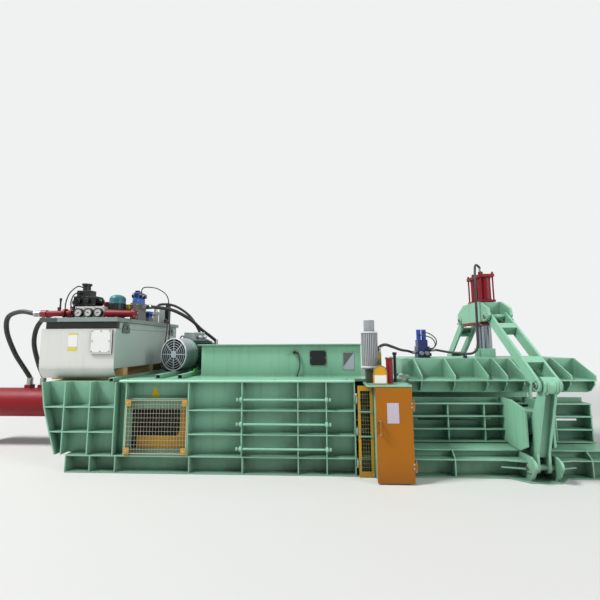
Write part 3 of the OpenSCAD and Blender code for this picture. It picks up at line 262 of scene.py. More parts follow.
valve_lead_a = [(-3.352, -0.54, 1.746), (-3.352, -0.54, 1.8), (-3.4, -0.5, 1.95), (-3.4, -0.44, 2.11),
                (-3.34, -0.38, 2.215), (-3.322, -0.3, 2.222), (-3.297, -0.3, 2.222)]
valve_lead_b = [(-3.29, -0.47, 1.746), (-3.29, -0.47, 1.8), (-3.34, -0.48, 1.96), (-3.335, -0.45, 2.08),
                (-3.31, -0.41, 2.126), (-3.29, -0.385, 2.13), (-3.29, -0.361, 2.13)]
sensor_lead = [(-0.284, -0.625, 1.3), (-0.262, -0.625, 1.3), (-0.244, -0.63, 1.23), (-0.24, -0.634, 1.14),
               (-0.262, -0.634, 1.062), (-0.272, -0.634, 1.04), (-0.272, -0.634, 1.016)]
motor_lead_a = [(-2.44, 0.42, 1.746), (-2.44, 0.42, 1.79), (-2.4, 0.4, 1.8), (-2.372, 0.38, 1.7),
                (-2.372, 0.33, 1.45), (-2.376, 0.26, 1.2), (-2.35, 0.2, 1.07), (-2.24, 0.15, 1.034),
                (-2.12, 0.11, 1.06), (-2.066, 0.08, 1.2), (-2.06, 0.05, 1.4), (-2.01, 0.05, 1.53),
                (-1.945, 0.033, 1.517), (-1.917, 0.023, 1.517)]
motor_lead_b = [(-2.44, 0.47, 1.746), (-2.44, 0.47, 1.78), (-2.39, 0.45, 1.78), (-2.345, 0.42, 1.68),
                (-2.34, 0.37, 1.44), (-2.336, 0.31, 1.19), (-2.31, 0.25, 1.07), (-2.23, 0.19, 1.034),
                (-2.1, 0.16, 1.06), (-2.04, 0.15, 1.2), (-2.034, 0.12, 1.42), (-1.985, 0.12, 1.53),
                (-1.92, 0.097, 1.517), (-1.892, 0.087, 1.517)]
return_route = [(-2.485, -0.26, 2.126), (-2.485, -0.26, 2.16), (-2.48, -0.18, 2.225),
                (-2.462, 0.15, 2.262), (-2.462, 0.48, 2.22), (-2.475, 0.63, 2.13), (-2.475, 0.63, 2.076)]
platen_lead_a = [(1.44, -0.106, 1.56), (1.44, -0.13, 1.56), (1.49, -0.175, 1.54), (1.56, -0.185, 1.48),
                 (1.57, -0.19, 1.41), (1.53, -0.2, 1.355), (1.48, -0.19, 1.345), (1.48, -0.161, 1.345)]
platen_lead_b = [(1.37, -0.106, 1.52), (1.37, -0.13, 1.52), (1.4, -0.185, 1.52), (1.5, -0.225, 1.48),
                 (1.54, -0.235, 1.4), (1.5, -0.235, 1.34), (1.455, -0.205, 1.335), (1.455, -0.161, 1.335)]


def plug_cap(tip, heading, radius):
    profile = [(0, 0.8), (0, 1.9), (1, 1.9), (1.4, 1.6), (2.6, 1.5), (3.4, 1.15), (3.4, 1.01)]
    return turned(tip, heading, [(a * radius, r * radius) for a, r in profile], 14)


caps = {"frame": [], "top_platen": []}
for name, route, radius, body, node in (
        ("valve_lead_a", valve_lead_a, 0.008, "frame", "oil_hoses"),
        ("valve_lead_b", valve_lead_b, 0.008, "frame", "oil_hoses"),
        ("sensor_lead", sensor_lead, 0.006, "frame", "oil_hoses"),
        ("motor_lead_a", motor_lead_a, 0.009, "frame", "oil_hoses"),
        ("motor_lead_b", motor_lead_b, 0.009, "frame", "oil_hoses"),
        ("thin_return_hose", return_route, 0.008, "frame", "oil_hoses"),
        ("platen_lead_a", platen_lead_a, 0.007, "top_platen", "platen_leads"),
        ("platen_lead_b", platen_lead_b, 0.007, "top_platen", "platen_leads")):
    piece = hose(name, route, radius, 10, 12, lead_jacket)
    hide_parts(node)
    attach(piece, body)
    caps[body] += at_both_ends(plug_cap, route, radius)
for body, parts in caps.items():
    joined("lead_plugs_" + body, parts, lead_jacket, body)


# Machine body, hopper and squeeze frame. Flame cut plate, welded and sprayed with
# a mint green machine enamel, which is glossy, a little uneven and dusty low down.
# within() is 1 inside a box of Object coordinates, where a part has a second colour.
def within(tree, spot, ranges):
    apart = add(tree, "ShaderNodeSeparateXYZ", {"Vector": spot})
    mask = None
    for axis, (low, high) in ranges.items():
        hit = add(tree, "ShaderNodeMath", {"operation": "COMPARE", 0: apart.outputs["xyz".index(axis)],
                                           1: (low + high) / 2, 2: (high - low) / 2})
        mask = add(tree, "ShaderNodeMath", {"operation": "MULTIPLY", 0: mask, 1: hit}) if mask else hit
    return mask


# Sprayed enamel or powder coat over steel, for the paints on the machine: gloss is its
# roughness, spray the unevenness of its tone, edge_highlight a painted highlight on cut edges.
def enamel(name, code, gloss, dust_amount, spray=0.05, edge_highlight=0.3, coat=0.12, patches=()):
    material, tree = new_material(name)
    spot = add(tree, "ShaderNodeTexCoord", {}).outputs["Object"]
    ground = add(tree, "ShaderNodeRGB", {}).outputs[0]
    ground.default_value = linear(code)
    for ranges, patch_code in patches:
        ground = add(tree, "ShaderNodeMix", {"data_type": "RGBA", 0: within(tree, spot, ranges), 6: ground,
                                             7: linear(patch_code)}).outputs[2]
    passes = add(tree, "ShaderNodeTexNoise", {"Vector": spot, "Scale": 2.3, "Detail": 5.0, "Roughness": 0.6})
    tone = add(tree, "ShaderNodeMapRange", {"Value": passes, "From Min": 0.3, "From Max": 0.7,
                                            "To Min": 1.0 - spray, "To Max": 1.0 + spray})
    paint = add(tree, "ShaderNodeHueSaturation", {"Color": ground, "Value": tone})
    # Rain and oil leave faint runs, a few centimetres apart and long.
    run_map = add(tree, "ShaderNodeMapping", {"Vector": spot, "Scale": (22.0, 22.0, 1.3)})
    runs = add(tree, "ShaderNodeTexNoise", {"Vector": run_map, "Scale": 1.0, "Detail": 4.0})
    run_mask = add(tree, "ShaderNodeMapRange", {"Value": runs, "From Min": 0.52, "From Max": 0.78,
                                                "To Max": 0.2 * dust_amount})
    soiled = add(tree, "ShaderNodeMix", {"data_type": "RGBA", 0: run_mask, 6: paint, 7: linear("55604F")})
    # Yard dust lies thickest within 300 mm of the floor.
    height = add(tree, "ShaderNodeSeparateXYZ", {"Vector": spot}).outputs[2]
    low = add(tree, "ShaderNodeMapRange", {"Value": height, "From Min": 0.0, "From Max": 0.34,
                                           "To Min": 1.0, "To Max": 0.0})
    speck = add(tree, "ShaderNodeTexNoise", {"Vector": spot, "Scale": 9.0, "Detail": 6.0, "Roughness": 0.7})
    speck_mask = add(tree, "ShaderNodeMapRange", {"Value": speck, "From Min": 0.35, "From Max": 0.75,
                                                  "To Max": 0.5 * dust_amount})
    dust_mask = add(tree, "ShaderNodeMath", {"operation": "MULTIPLY", 0: low, 1: speck_mask})
    dusty = add(tree, "ShaderNodeMix", {"data_type": "RGBA", 0: dust_mask, 6: soiled.outputs[2],
                                        7: linear("8F8B7C")})
    # Cut edges get a painted highlight mixed towards near white, and are chipped in places.
    rounded = add(tree, "ShaderNodeBevel", {"samples": 3, "Radius": 0.006})
    true_face = add(tree, "ShaderNodeNewGeometry", {}).outputs["Normal"]
    facing = add(tree, "ShaderNodeVectorMath", {"operation": "DOT_PRODUCT", 0: rounded, 1: true_face})
    edge = add(tree, "ShaderNodeMapRange", {"Value": facing.outputs["Value"], "From Min": 0.985,
                                            "From Max": 0.8})
    bright = add(tree, "ShaderNodeMath", {"operation": "MULTIPLY", 0: edge, 1: edge_highlight})
    edge_highlighted = add(tree, "ShaderNodeMix", {"data_type": "RGBA", 0: bright, 6: dusty.outputs[2],
                                        7: linear("EEF6EE")})
    chip = add(tree, "ShaderNodeTexNoise", {"Vector": spot, "Scale": 38.0, "Detail": 3.0})
    chip_mask = add(tree, "ShaderNodeMapRange", {"Value": chip, "From Min": 0.66, "From Max": 0.7,
                                                 "To Max": 0.7})
    chipped = add(tree, "ShaderNodeMath", {"operation": "MULTIPLY", 0: edge, 1: chip_mask})
    worn = add(tree, "ShaderNodeMix", {"data_type": "RGBA", 0: chipped, 6: edge_highlighted.outputs[2],
                                       7: linear("6B625A")})
    # Inner corners and recesses are darkened by ambient occlusion: painted shade.
    corner = add(tree, "ShaderNodeAmbientOcclusion", {"samples": 4, "Distance": 0.32})
    painted_corner_shade = add(tree, "ShaderNodeMapRange", {"Value": corner.outputs["AO"], "From Min": 0.2, "From Max": 0.9,
                                            "To Min": 0.42, "To Max": 1.0})
    corner_shaded_paint = add(tree, "ShaderNodeHueSaturation", {"Color": worn.outputs[2], "Value": painted_corner_shade})
    # Orange peel of a sprayed film: 4 mm grain, drawn at 7 mm, over the rounded edges.
    peel = add(tree, "ShaderNodeTexNoise", {"Vector": spot, "Scale": 140.0, "Detail": 2.0})
    film = add(tree, "ShaderNodeBump", {"Height": peel, "Strength": 0.12, "Distance": 0.001,
                                        "Normal": rounded})
    gleam = add(tree, "ShaderNodeMapRange", {"Value": speck, "To Min": gloss - 0.05, "To Max": gloss + 0.14})
    skin = add(tree, "ShaderNodeBsdfPrincipled", {"Base Color": corner_shaded_paint, "Roughness": gleam,
                                                  "Specular IOR Level": 0.3, "Coat Weight": coat,
                                                  "Coat Roughness": 0.22, "Normal": film})
    add(tree, "ShaderNodeOutputMaterial", {"Surface": skin})
    return material


def dress(material, *nodes):
    for node in nodes:
        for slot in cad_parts[node].material_slots:
            slot.material = material


# Mint enamel: pale and fresh in the sun, with a painted highlight on cut edges and painted shade in inner
# corners.
MINT = "8CC4A5"
mint_enamel = enamel("mint_machine_enamel", MINT, 0.40, 1.0, edge_highlight=0.55)
dress(mint_enamel, "base_frame", "body_panel_front", "body_panel_rear", "deck_plate", "cylinder_end_plate",
      "hopper", "tie_bars", "cabinet", "lever_feet", "lever_front", "lever_rear", "link_front",
      "link_rear", "crosshead", "top_platen", "side_gate_front", "side_gate_rear")

# Inside of the chamber. The same plate, taken as only primed and rubbed by paper, in a
# dull dark green without gloss that is also painted shade for the inside of the chamber.
shaded_inner_primer = enamel("dull_green_primer_with_painted_shade", "34493F", 0.62, 0.6, spray=0.12, edge_highlight=0.08, coat=0.0)
dress(shaded_inner_primer, "chamber_wall_front", "chamber_wall_rear", "bulkheads", "ram")


# Weld beads. Hand laid fillets where the ribs meet their plates, painted over; a bead
# is a round ripple every 14 mm, twice the real pitch, drawn by a curve that swells and
# shrinks. shape_tree() opens a tree with named inputs, and finished() closes it.
def shape_tree(name, inputs, result):
    tree = bpy.data.node_groups.new(name, "GeometryNodeTree")
    for socket, kind in inputs.items():
        tree.interface.new_socket(name=socket, in_out="INPUT", socket_type="NodeSocket" + kind)
    tree.interface.new_socket(name=result, in_out="OUTPUT", socket_type="NodeSocketGeometry")
    return tree, add(tree, "NodeGroupInput", {}).outputs


def finished(tree, shape, finish):
    whole = add(tree, "GeometryNodeRealizeInstances", {"Geometry": shape})
    coated = add(tree, "GeometryNodeSetMaterial", {"Geometry": whole, "Material": finish})
    add(tree, "NodeGroupOutput", {0: coated})


bead_tree, given = shape_tree("weld_beads", {"Lines": "Geometry", "Bead Radius": "Float", "Ripple": "Float",
                                             "Seed": "Int", "Finish": "Material"}, "Beads")
path = add(bead_tree, "GeometryNodeMeshToCurve", {"Mesh": given["Lines"]})
steps = add(bead_tree, "GeometryNodeResampleCurve", {"mode": "LENGTH", "Curve": path,
                                                     "Length": given["Ripple"]})
ring = add(bead_tree, "GeometryNodeCurvePrimitiveCircle", {"Resolution": 6, "Radius": given["Bead Radius"]})
order = add(bead_tree, "GeometryNodeInputIndex", {})
swell = add(bead_tree, "FunctionNodeRandomValue", {"data_type": "FLOAT", 2: 0.72, 3: 1.22, 7: order,
                                                   8: given["Seed"]})
bead = add(bead_tree, "GeometryNodeCurveToMesh", {"Curve": steps, "Profile Curve": ring,
                                                  "Scale": swell.outputs[1], "Fill Caps": True})
soft = add(bead_tree, "GeometryNodeSetShadeSmooth", {"Geometry": bead})
finished(bead_tree, soft, given["Finish"])


# Grows a tree's shape on a base mesh, keeps it as plain mesh and hangs it on its body.
def grown(name, base, tree, sizes, body):
    piece = bpy.data.objects.new(name, base)
    bpy.context.collection.objects.link(piece)
    modifier = piece.modifiers.new(tree.name, "NODES")
    modifier.node_group = tree
    for item in tree.interface.items_tree:
        if item.in_out == "INPUT" and item.name in sizes:
            modifier[item.identifier] = sizes[item.name]
    bpy.context.view_layer.update()
    done = piece.evaluated_get(bpy.context.evaluated_depsgraph_get())
    mesh = bpy.data.meshes.new_from_object(done)
    piece.modifiers.clear()
    piece.data = mesh
    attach(piece, body)
    return piece


def welded(name, body, lines, radius=0.0055, finish=mint_enamel):
    verts, edges = [], []
    for line in lines:
        edges += [(len(verts) + i, len(verts) + i + 1) for i in range(len(line) - 1)]
        verts += line
    base = bpy.data.meshes.new(name)
    base.from_pydata(verts, edges, [])
    grown(name, base, bead_tree, {"Bead Radius": radius, "Ripple": 0.014, "Seed": 7, "Finish": finish},
          body)


# Points on a circle about a centre; across and up give its plane.
def on_circle(centre, radius, angles, across=(1, 0, 0), up=(0, 1, 0)):
    return [tuple(c + radius * (math.cos(a) * u + math.sin(a) * v) for c, u, v in zip(centre, across, up))
            for a in angles]


# Body panels: two beads along each rib and shelf, one at the foot of each bay.
SKIN, HALF_RIB = 0.933, 0.008
RIBS = (-2.922, -2.622, -2.325, -2.197, -1.475, -0.868, -0.242, 0.072, 0.383)
LEFT_BAYS = ((-2.914, -2.63), (-2.614, -2.333))
RIGHT_BAYS = ((-1.467, -0.876), (-0.86, -0.25), (-0.234, 0.064), (0.08, 0.375))
shelves = [(-3.15, -2.93, 0.711), (-3.07, -2.93, 0.438)]
shelves += [(x0, x1, z) for x0, x1 in LEFT_BAYS for z in (0.711, 0.438)]
shelves += [(x0, x1, z) for x0, x1 in RIGHT_BAYS for z in (0.681, 0.422)]
for way, name in ((-1, "panel_welds_front"), (1, "panel_welds_rear")):
    y = way * SKIN
    lines = [[(x + side, y, 0.2), (x + side, y, 0.984)] for x in RIBS for side in (-HALF_RIB, HALF_RIB)]
    lines += [[(x0, y, z + side), (x1, y, z + side)] for x0, x1, z in shelves
              for side in (-HALF_RIB, HALF_RIB)]
    lines += [[(x0, y, 0.194), (x1, y, 0.194)]
              for x0, x1 in ((-2.99, -2.93), *LEFT_BAYS, (-2.317, -2.205), (-2.19, -1.483), *RIGHT_BAYS)]
    lines.append([(-1.48, way * 0.613, 1.017), (0.51, way * 0.613, 1.017)])
    welded(name, "frame", lines)

# Platen: beads along its gussets, its centre box and the feet of both rods.
BOX_SIDE, PLATE_TOP = 0.391, 0.987
ROD_X, ROD_Y = 2.28, 0.106
lines = []
for way in (-1, 1):
    for x in (1.2, 1.585, 1.965, 2.18, 2.38, 2.62, 2.9):
        for side in (-0.001, 0.015):
            lines.append([(x + side, way * 0.74, PLATE_TOP), (x + side, way * BOX_SIDE, PLATE_TOP),
                          (x + side, way * BOX_SIDE, 1.21)])
            lines.append([(x + side, way * 0.605, 0.85), (x + side, way * 0.605, 0.968),
                          (x + side, way * 0.71, 0.969)])
    lines.append([(1.05, way * BOX_SIDE, PLATE_TOP), (3.17, way * BOX_SIDE, PLATE_TOP)])
    lines.append(on_circle((ROD_X, way * ROD_Y, 1.221), 0.087, [a * math.tau / 24 for a in range(25)]))
welded("platen_welds", "top_platen", lines)

# Gates and levers: beads along the gates' shelves and posts, and round the levers' eyes.
GATE_SKIN = 0.571
for way, body in ((-1, "side_gate_front"), (1, "side_gate_rear")):
    y = way * GATE_SKIN
    lines = [[(1.08, y, z + side), (3.1, y, z + side)]
             for z in (0.425, 0.569, 0.711) for side in (-HALF_RIB, HALF_RIB)]
    lines += [[(x, y, z0), (x, y, z1)] for x in (1.489, 1.505, 1.904, 1.92, 2.699, 2.715)
              for z0, z1 in ((0.296, 0.417), (0.433, 0.561), (0.577, 0.703))]
    welded("gate_welds_" + body[10:], body, lines)
for way, body in ((-1, "lever_front"), (1, "lever_rear")):
    eye_arc = [math.radians(t) for t in range(150, 400, 10)]
    lines = [on_circle((x, way * 1.315, 0.99), 0.086, eye_arc, (0, way, 0), (0, 0, 1))
             for x in (2.209, 2.236, 2.324, 2.351)]
    welded("lever_welds_" + body[6:], body, lines)
welded("crosshead_welds", "crosshead", [[(x, way * y, 1.705), (x, way * y, 1.945)] for way in (-1, 1)
                                        for x in (2.161, 2.399) for y in (0.238, 0.264)])

# Bolts. Zinc plated hexagon heads on turned washers, each turned its own way. One
# point and one facing for each bolt; the tree stands a head and a washer on it.
bolt_tree, given = shape_tree("hexagon_bolts", {"Places": "Geometry", "Head Radius": "Float",
                                                "Head Height": "Float", "Washer Radius": "Float",
                                                "Seed": "Int", "Finish": "Material"}, "Bolts")
washer = add(bolt_tree, "GeometryNodeMeshCylinder", {"Vertices": 16, "Radius": given["Washer Radius"],
                                                     "Depth": 0.006})
middle = add(bolt_tree, "ShaderNodeMath", {"operation": "MULTIPLY", 0: given["Head Height"], 1: 0.5})
raise_by = add(bolt_tree, "ShaderNodeCombineXYZ", {"Z": middle})
head = add(bolt_tree, "GeometryNodeMeshCylinder", {"Vertices": 6, "Radius": given["Head Radius"],
                                                   "Depth": given["Head Height"]})
head_up = add(bolt_tree, "GeometryNodeTransform", {"Geometry": head, "Translation": raise_by})
crown_foot = add(bolt_tree, "ShaderNodeMath", {"operation": "MULTIPLY", 0: given["Head Radius"], 1: 0.86})
crown_top = add(bolt_tree, "ShaderNodeMath", {"operation": "MULTIPLY", 0: given["Head Radius"], 1: 0.66})
crown = add(bolt_tree, "GeometryNodeMeshCone", {"Vertices": 16, "Radius Top": crown_top,
                                                "Radius Bottom": crown_foot, "Depth": 0.0015})
crown_at = add(bolt_tree, "ShaderNodeCombineXYZ", {"Z": given["Head Height"]})
crown_up = add(bolt_tree, "GeometryNodeTransform", {"Geometry": crown, "Translation": crown_at})
bolt = add(bolt_tree, "GeometryNodeJoinGeometry", {0: [washer, head_up, crown_up]})
facing = add(bolt_tree, "GeometryNodeInputNamedAttribute", {"data_type": "FLOAT_VECTOR", "Name": "facing"})
stand = add(bolt_tree, "FunctionNodeAlignRotationToVector", {"axis": "Z", "Vector": facing})
order = add(bolt_tree, "GeometryNodeInputIndex", {})
turn = add(bolt_tree, "FunctionNodeRandomValue", {"data_type": "FLOAT", 2: 0.0, 3: 1.047, 7: order,
                                                  8: given["Seed"]})
spin = add(bolt_tree, "FunctionNodeAxisAngleToRotation", {"Axis": (0, 0, 1), "Angle": turn.outputs[1]})
pose = add(bolt_tree, "FunctionNodeRotateRotation", {"rotation_space": "LOCAL", "Rotation": stand,
                                                     "Rotate By": spin})
bolts = add(bolt_tree, "GeometryNodeInstanceOnPoints", {"Points": given["Places"], "Instance": bolt,
                                                        "Rotation": pose})
finished(bolt_tree, bolts, given["Finish"])


def bolted(name, body, places, facing, head=0.011, height=0.008, washer=0.014, finish=zinc_plate):
    base = bpy.data.meshes.new(name)
    base.from_pydata([tuple(p) for p in places], [], [])
    ways = facing if isinstance(facing, list) else [facing] * len(places)
    base.attributes.new("facing", "FLOAT_VECTOR", "POINT").data.foreach_set(
        "vector", [c for way in ways for c in way])
    grown(name, base, bolt_tree, {"Head Radius": head, "Head Height": height, "Washer Radius": washer,
                                  "Seed": 3, "Finish": finish}, body)


X, Y, Z = (1, 0, 0), (0, 1, 0), (0, 0, 1)
LEFT, FRONT, UNDER = (-1, 0, 0), (0, -1, 0), (0, 0, -1)
bolted("deck_bolts", "frame", [(x, way * 1.02, 1.015) for way in (-1, 1) for x in (-2.2, -0.5, 0.3)], Z)

# Rows that stand round an axis, such as fins, knurls and the marks of a dial. The bars
# stand on a circle and point outwards; Turn lays the circle where it belongs, and Gap
# leaves out those below a share of the radius.
crown_tree, given = shape_tree("bars_round_an_axis", {"Base": "Geometry", "Centre": "Vector",
                                                      "Turn": "Rotation", "Ring Radius": "Float",
                                                      "Bar Size": "Vector", "Count": "Int", "Gap": "Float",
                                                      "Finish": "Material"}, "Bars")
ring = add(crown_tree, "GeometryNodeMeshCircle", {"Vertices": given["Count"], "Radius": given["Ring Radius"]})
bar = add(crown_tree, "GeometryNodeMeshCube", {"Size": given["Bar Size"]})
at = add(crown_tree, "GeometryNodeInputPosition", {})
outward = add(crown_tree, "FunctionNodeAlignRotationToVector", {"axis": "Y", "Vector": at})
apart = add(crown_tree, "ShaderNodeSeparateXYZ", {"Vector": at})
limit = add(crown_tree, "ShaderNodeMath", {"operation": "MULTIPLY", 0: given["Ring Radius"], 1: given["Gap"]})
kept = add(crown_tree, "ShaderNodeMath", {"operation": "GREATER_THAN", 0: apart.outputs[1], 1: limit})
bars = add(crown_tree, "GeometryNodeInstanceOnPoints", {"Points": ring, "Instance": bar, "Selection": kept,
                                                        "Rotation": outward})
laid = add(crown_tree, "GeometryNodeTransform", {"Geometry": bars, "Rotation": given["Turn"],
                                                 "Translation": given["Centre"]})
finished(crown_tree, laid, given["Finish"])


def ring_of_bars(name, centre, radius, bar, count, finish, turn=(0, 0, 0), gap=-1.1):
    grown(name, bpy.data.meshes.new(name), crown_tree,
          {"Centre": centre, "Ring Radius": radius, "Bar Size": bar, "Count": count, "Turn": turn,
           "Gap": gap, "Finish": finish}, "frame")


# Plates and signs. Laser cut sheet with filed edges, left bare, screwed or stuck on.
# The outline is drawn across and up on the face that carries it.
def cut_plate(outline, base, thick, filed=0.001, across=X, up=Z):
    base, across, up = Vector(base), Vector(across), Vector(up)
    out = across.cross(up)
    middle_u = sum(u for u, _ in outline) / len(outline)
    middle_v = sum(v for _, v in outline) / len(outline)
    verts = []
    for depth, inset in ((0.0, 0.0), (thick - filed, 0.0), (thick, filed)):
        for u, v in outline:
            k = 1 - inset / math.hypot(u - middle_u, v - middle_v)
            verts.append(base + across * (middle_u + (u - middle_u) * k)
                         + up * (middle_v + (v - middle_v) * k) + out * depth)
    n = len(outline)
    faces = [tuple(range(n - 1, -1, -1)), tuple(2 * n + k for k in range(n))]
    for r in (0, n):
        for k in range(n):
            m = (k + 1) % n
            faces.append((r + k, r + m, r + n + m, r + n + k))
    return verts, faces


def round_plate(width, height, radius, base, thick, filed=0.001, across=X, up=Z):
    outline = []
    for corner_u, corner_v, start in ((width - radius, radius, -90), (width - radius, height - radius, 0),
                                      (radius, height - radius, 90), (radius, radius, 180)):
        for a in range(0, 91, 18):
            t = math.radians(start + a)
            outline.append((corner_u + radius * math.cos(t), corner_v + radius * math.sin(t)))
    return cut_plate(outline, base, thick, filed, across, up)


# Worn steel: the chamber floor, blades, wear strips and pins. Rolled or ground
# plate, polished by the paper that slides over it: long bright scratches on grey.
worn_steel, tree = new_material("worn_rolled_steel")
spot = add(tree, "ShaderNodeTexCoord", {}).outputs["Object"]
drag = add(tree, "ShaderNodeMapping", {"Vector": spot, "Scale": (1.2, 60.0, 60.0)})
scratch = add(tree, "ShaderNodeTexNoise", {"Vector": drag, "Scale": 3.0, "Detail": 6.0})
scale_spots = add(tree, "ShaderNodeTexNoise", {"Vector": spot, "Scale": 5.0, "Detail": 5.0})
tone = add(tree, "ShaderNodeMix", {"data_type": "RGBA", 0: scale_spots, 6: linear("6E6A66"),
                                   7: linear("9C9A97")})
rub = add(tree, "ShaderNodeMapRange", {"Value": scratch, "To Min": 0.25, "To Max": 0.6})
groove = add(tree, "ShaderNodeBump", {"Height": scratch, "Strength": 0.2, "Distance": 0.0006})
skin = add(tree, "ShaderNodeBsdfPrincipled", {"Base Color": tone.outputs[2], "Metallic": 1.0,
                                              "Roughness": rub, "Normal": groove})
add(tree, "ShaderNodeOutputMaterial", {"Surface": skin})
dress(worn_steel, "chamber_floor", "fixed_blade", "ram_blade", "ram_wear_strips", "cylinder_gland",
      "twister_shaft", "hinge_posts")

# Piston rods. Ground steel with hard chrome, a mirror with faint hone lines that has
# lost some of its brightness to oil and dust.
hard_chrome, tree = new_material("hard_chromed_rod")
spot = add(tree, "ShaderNodeTexCoord", {}).outputs["Object"]
hone_map = add(tree, "ShaderNodeMapping", {"Vector": spot, "Scale": (1.0, 1.0, 60.0)})
hone = add(tree, "ShaderNodeTexNoise", {"Vector": hone_map, "Scale": 6.0, "Detail": 3.0})
haze = add(tree, "ShaderNodeMapRange", {"Value": hone, "To Min": 0.12, "To Max": 0.3})
tone = add(tree, "ShaderNodeMix", {"data_type": "RGBA", 0: hone, 6: linear("7B858C"), 7: linear("98A2A9")})
skin = add(tree, "ShaderNodeBsdfPrincipled", {"Base Color": tone.outputs[2], "Metallic": 1.0,
                                              "Roughness": haze})
add(tree, "ShaderNodeOutputMaterial", {"Surface": skin})
dress(hard_chrome, "squeeze_rods", "piston_rod")

# Cylinders and pressure pipes. Deep crimson enamel on drawn tube, smoother than the
# plates; rings, wiper and bolt heads are turned parts on the tubes.
crimson_enamel = enamel("crimson_cylinder_enamel", "850012", 0.44, 0.08, spray=0.02, edge_highlight=0.12,
                        coat=0.0)
dress(crimson_enamel, "main_cylinder", "squeeze_cylinders", "red_pipework")
CYLINDER_FOOT = 1.658
wiper = [(0, 0.07), (0.006, 0.07), (0.01, 0.066), (0.016, 0.064), (0.018, 0.056), (0.018, 0.0545)]
joined("rod_wiper_rings", [turned((ROD_X, y, CYLINDER_FOOT), UNDER, wiper, 32) for y in (-ROD_Y, ROD_Y)],
       worn_steel, "crosshead")
bolted("cylinder_flange_bolts", "crosshead",
       [(x, y, CYLINDER_FOOT) for x in (2.143, 2.417) for y in (-0.26, 0, 0.26)], UNDER, 0.014, 0.011, 0.018)
band = [(0, 0.0815), (0.001, 0.0855), (0.011, 0.0855), (0.012, 0.0815)]
joined("cylinder_weld_rings",
       [turned((ROD_X, y, z), Z, band, 40) for y in (-ROD_Y, ROD_Y) for z in (2.0, 2.28)],
       crimson_enamel, "crosshead")
bolted("pipe_flange_bolts", "frame",
       on_circle((-3.2, -0.6, 1.825), 0.053, (0.8, 2.4, 3.9, 5.5), Y, Z)
       + on_circle((-2.33, -0.69, 1.806), 0.047, (0.3, 1.4, 2.6, 3.9, 5.2), Y, Z), X, 0.008, 0.007, 0.01)

# Squeeze linkage. Pins of ground steel are kept by rings and keeper plates with two
# bolts each, and greased through a nipple in the pin's end. Both ends of a pin are
# listed with the body that holds it; the levers' pins have no keeper.
PIN_END = [(0, 0.0315), (0.002, 0.0315), (0.004, 0.029), (0.004, 0.012), (0.002, 0.010), (0.002, 0.006),
           (0.012, 0.0045), (0.014, 0.002)]
KEEPER_THICK = 0.008
pin_ends, keepers, places, ways = {}, {}, {}, {}
for way, lever in ((-1, "lever_front"), (1, "lever_rear")):
    for body, y, z, x0, x1, sunk in (("frame", 1.1, 0.14, 2.128, 2.457, 0.012),
                                     (lever, 1.315, 0.99, 2.152, 2.408, None),
                                     ("crosshead", 0.41, 1.745, 2.116, 2.444, 0.0)):
        for x, heading, across in ((x0, LEFT, FRONT), (x1, X, Y)):
            pin_ends.setdefault(body, []).append(turned((x, way * y, z), heading, PIN_END))
            if sunk is None:
                continue
            seat = x - heading[0] * sunk
            corner = (seat, way * y - across[1] * 0.06, z - 0.056)
            keepers.setdefault(body, []).append(round_plate(0.12, 0.026, 0.006, corner, KEEPER_THICK,
                                                            across=across))
            for u in (-0.045, 0.045):
                places.setdefault(body, []).append((seat + heading[0] * KEEPER_THICK, way * y + u, z - 0.043))
                ways.setdefault(body, []).append(heading)
for body, parts in pin_ends.items():
    joined("pin_ends_" + body, parts, worn_steel, body)
for body, parts in keepers.items():
    joined("keeper_plates_" + body, parts, mint_enamel, body)
    bolted("keeper_bolts_" + body, body, places[body], ways[body], 0.008, 0.007, 0.011)

# Oil tank. Folded sheet; the curled front is sprayed pale grey and the other sides grey
# green; the set back rim under the lid is painted dark grey as painted shade, the cover's
# sides near black as painted shadow, and the cover is bolted on.
SIDE_GREY = "B2C4BA"
tank_enamel = enamel("two_tone_tank_enamel", "DDDFDA", 0.36, 0.3, spray=0.015, edge_highlight=0.12, patches=(
    ({"y": (-0.72, 1.2)}, SIDE_GREY), ({"x": (-2.4505, -2.44), "y": (-0.905, 1.0)}, SIDE_GREY),
    # Painted shade: the dark grey band of the set back rim under the lid.
    ({"z": (1.6095, 1.72), "y": (-0.96, -0.82)}, "3A3C3A"),
    # Painted shadow: the near black sides of the raised cover.
    ({"x": (-2.737, -2.478), "y": (-0.9168, -0.9004)}, "242726")))
dress(tank_enamel, "oil_tank")
lid_enamel = enamel("grey_lid_enamel", "8C9A94", 0.4, 0.4, patches=(
    ({"x": (-3.4, -3.17), "y": (-0.94, -0.925)}, "4C5450"),))
dress(lid_enamel, "tank_lid")
lug_enamel = enamel("dark_lug_enamel", "5F6B66", 0.42, 0.4)
dress(lug_enamel, "lifting_eyes")
# White enamel: clean and bright, hardly soiled. Label film: the same white with a
# glossier skin and plain yellow ends; on the cabinet door it looks mauve.
white_enamel = enamel("white_plate_enamel", "F0F0EC", 0.3, 0.08, spray=0.01, edge_highlight=0.1)
label_film = enamel("plain_label_film", "F2F2F2", 0.24, 0.05, spray=0.01, edge_highlight=0.05, patches=(
    ({"z": (1.535, 1.56)}, "E3D25A"), ({"z": (1.33, 1.395)}, "E3D25A"), ({"x": (0.6, 0.9)}, "C6BBC8")))
joined("tank_cover_face", [round_plate(0.238, 0.27, 0.014, (-2.7355, -0.918, 1.324), 0.004)],
       white_enamel, "frame")
cover_rim = [(x, -0.922, z) for x in (-2.722, -2.6165, -2.511) for z in (1.338, 1.46, 1.58)]
cover_rim.remove((-2.6165, -0.922, 1.46))
bolted("tank_cover_bolts", "frame", cover_rim, FRONT, 0.006, 0.005, 0.008)
joined("tank_label", [round_plate(0.118, 0.212, 0.004, (-3.035, -0.9, 1.345), 0.0012, 0.0004)],
       label_film, "frame")
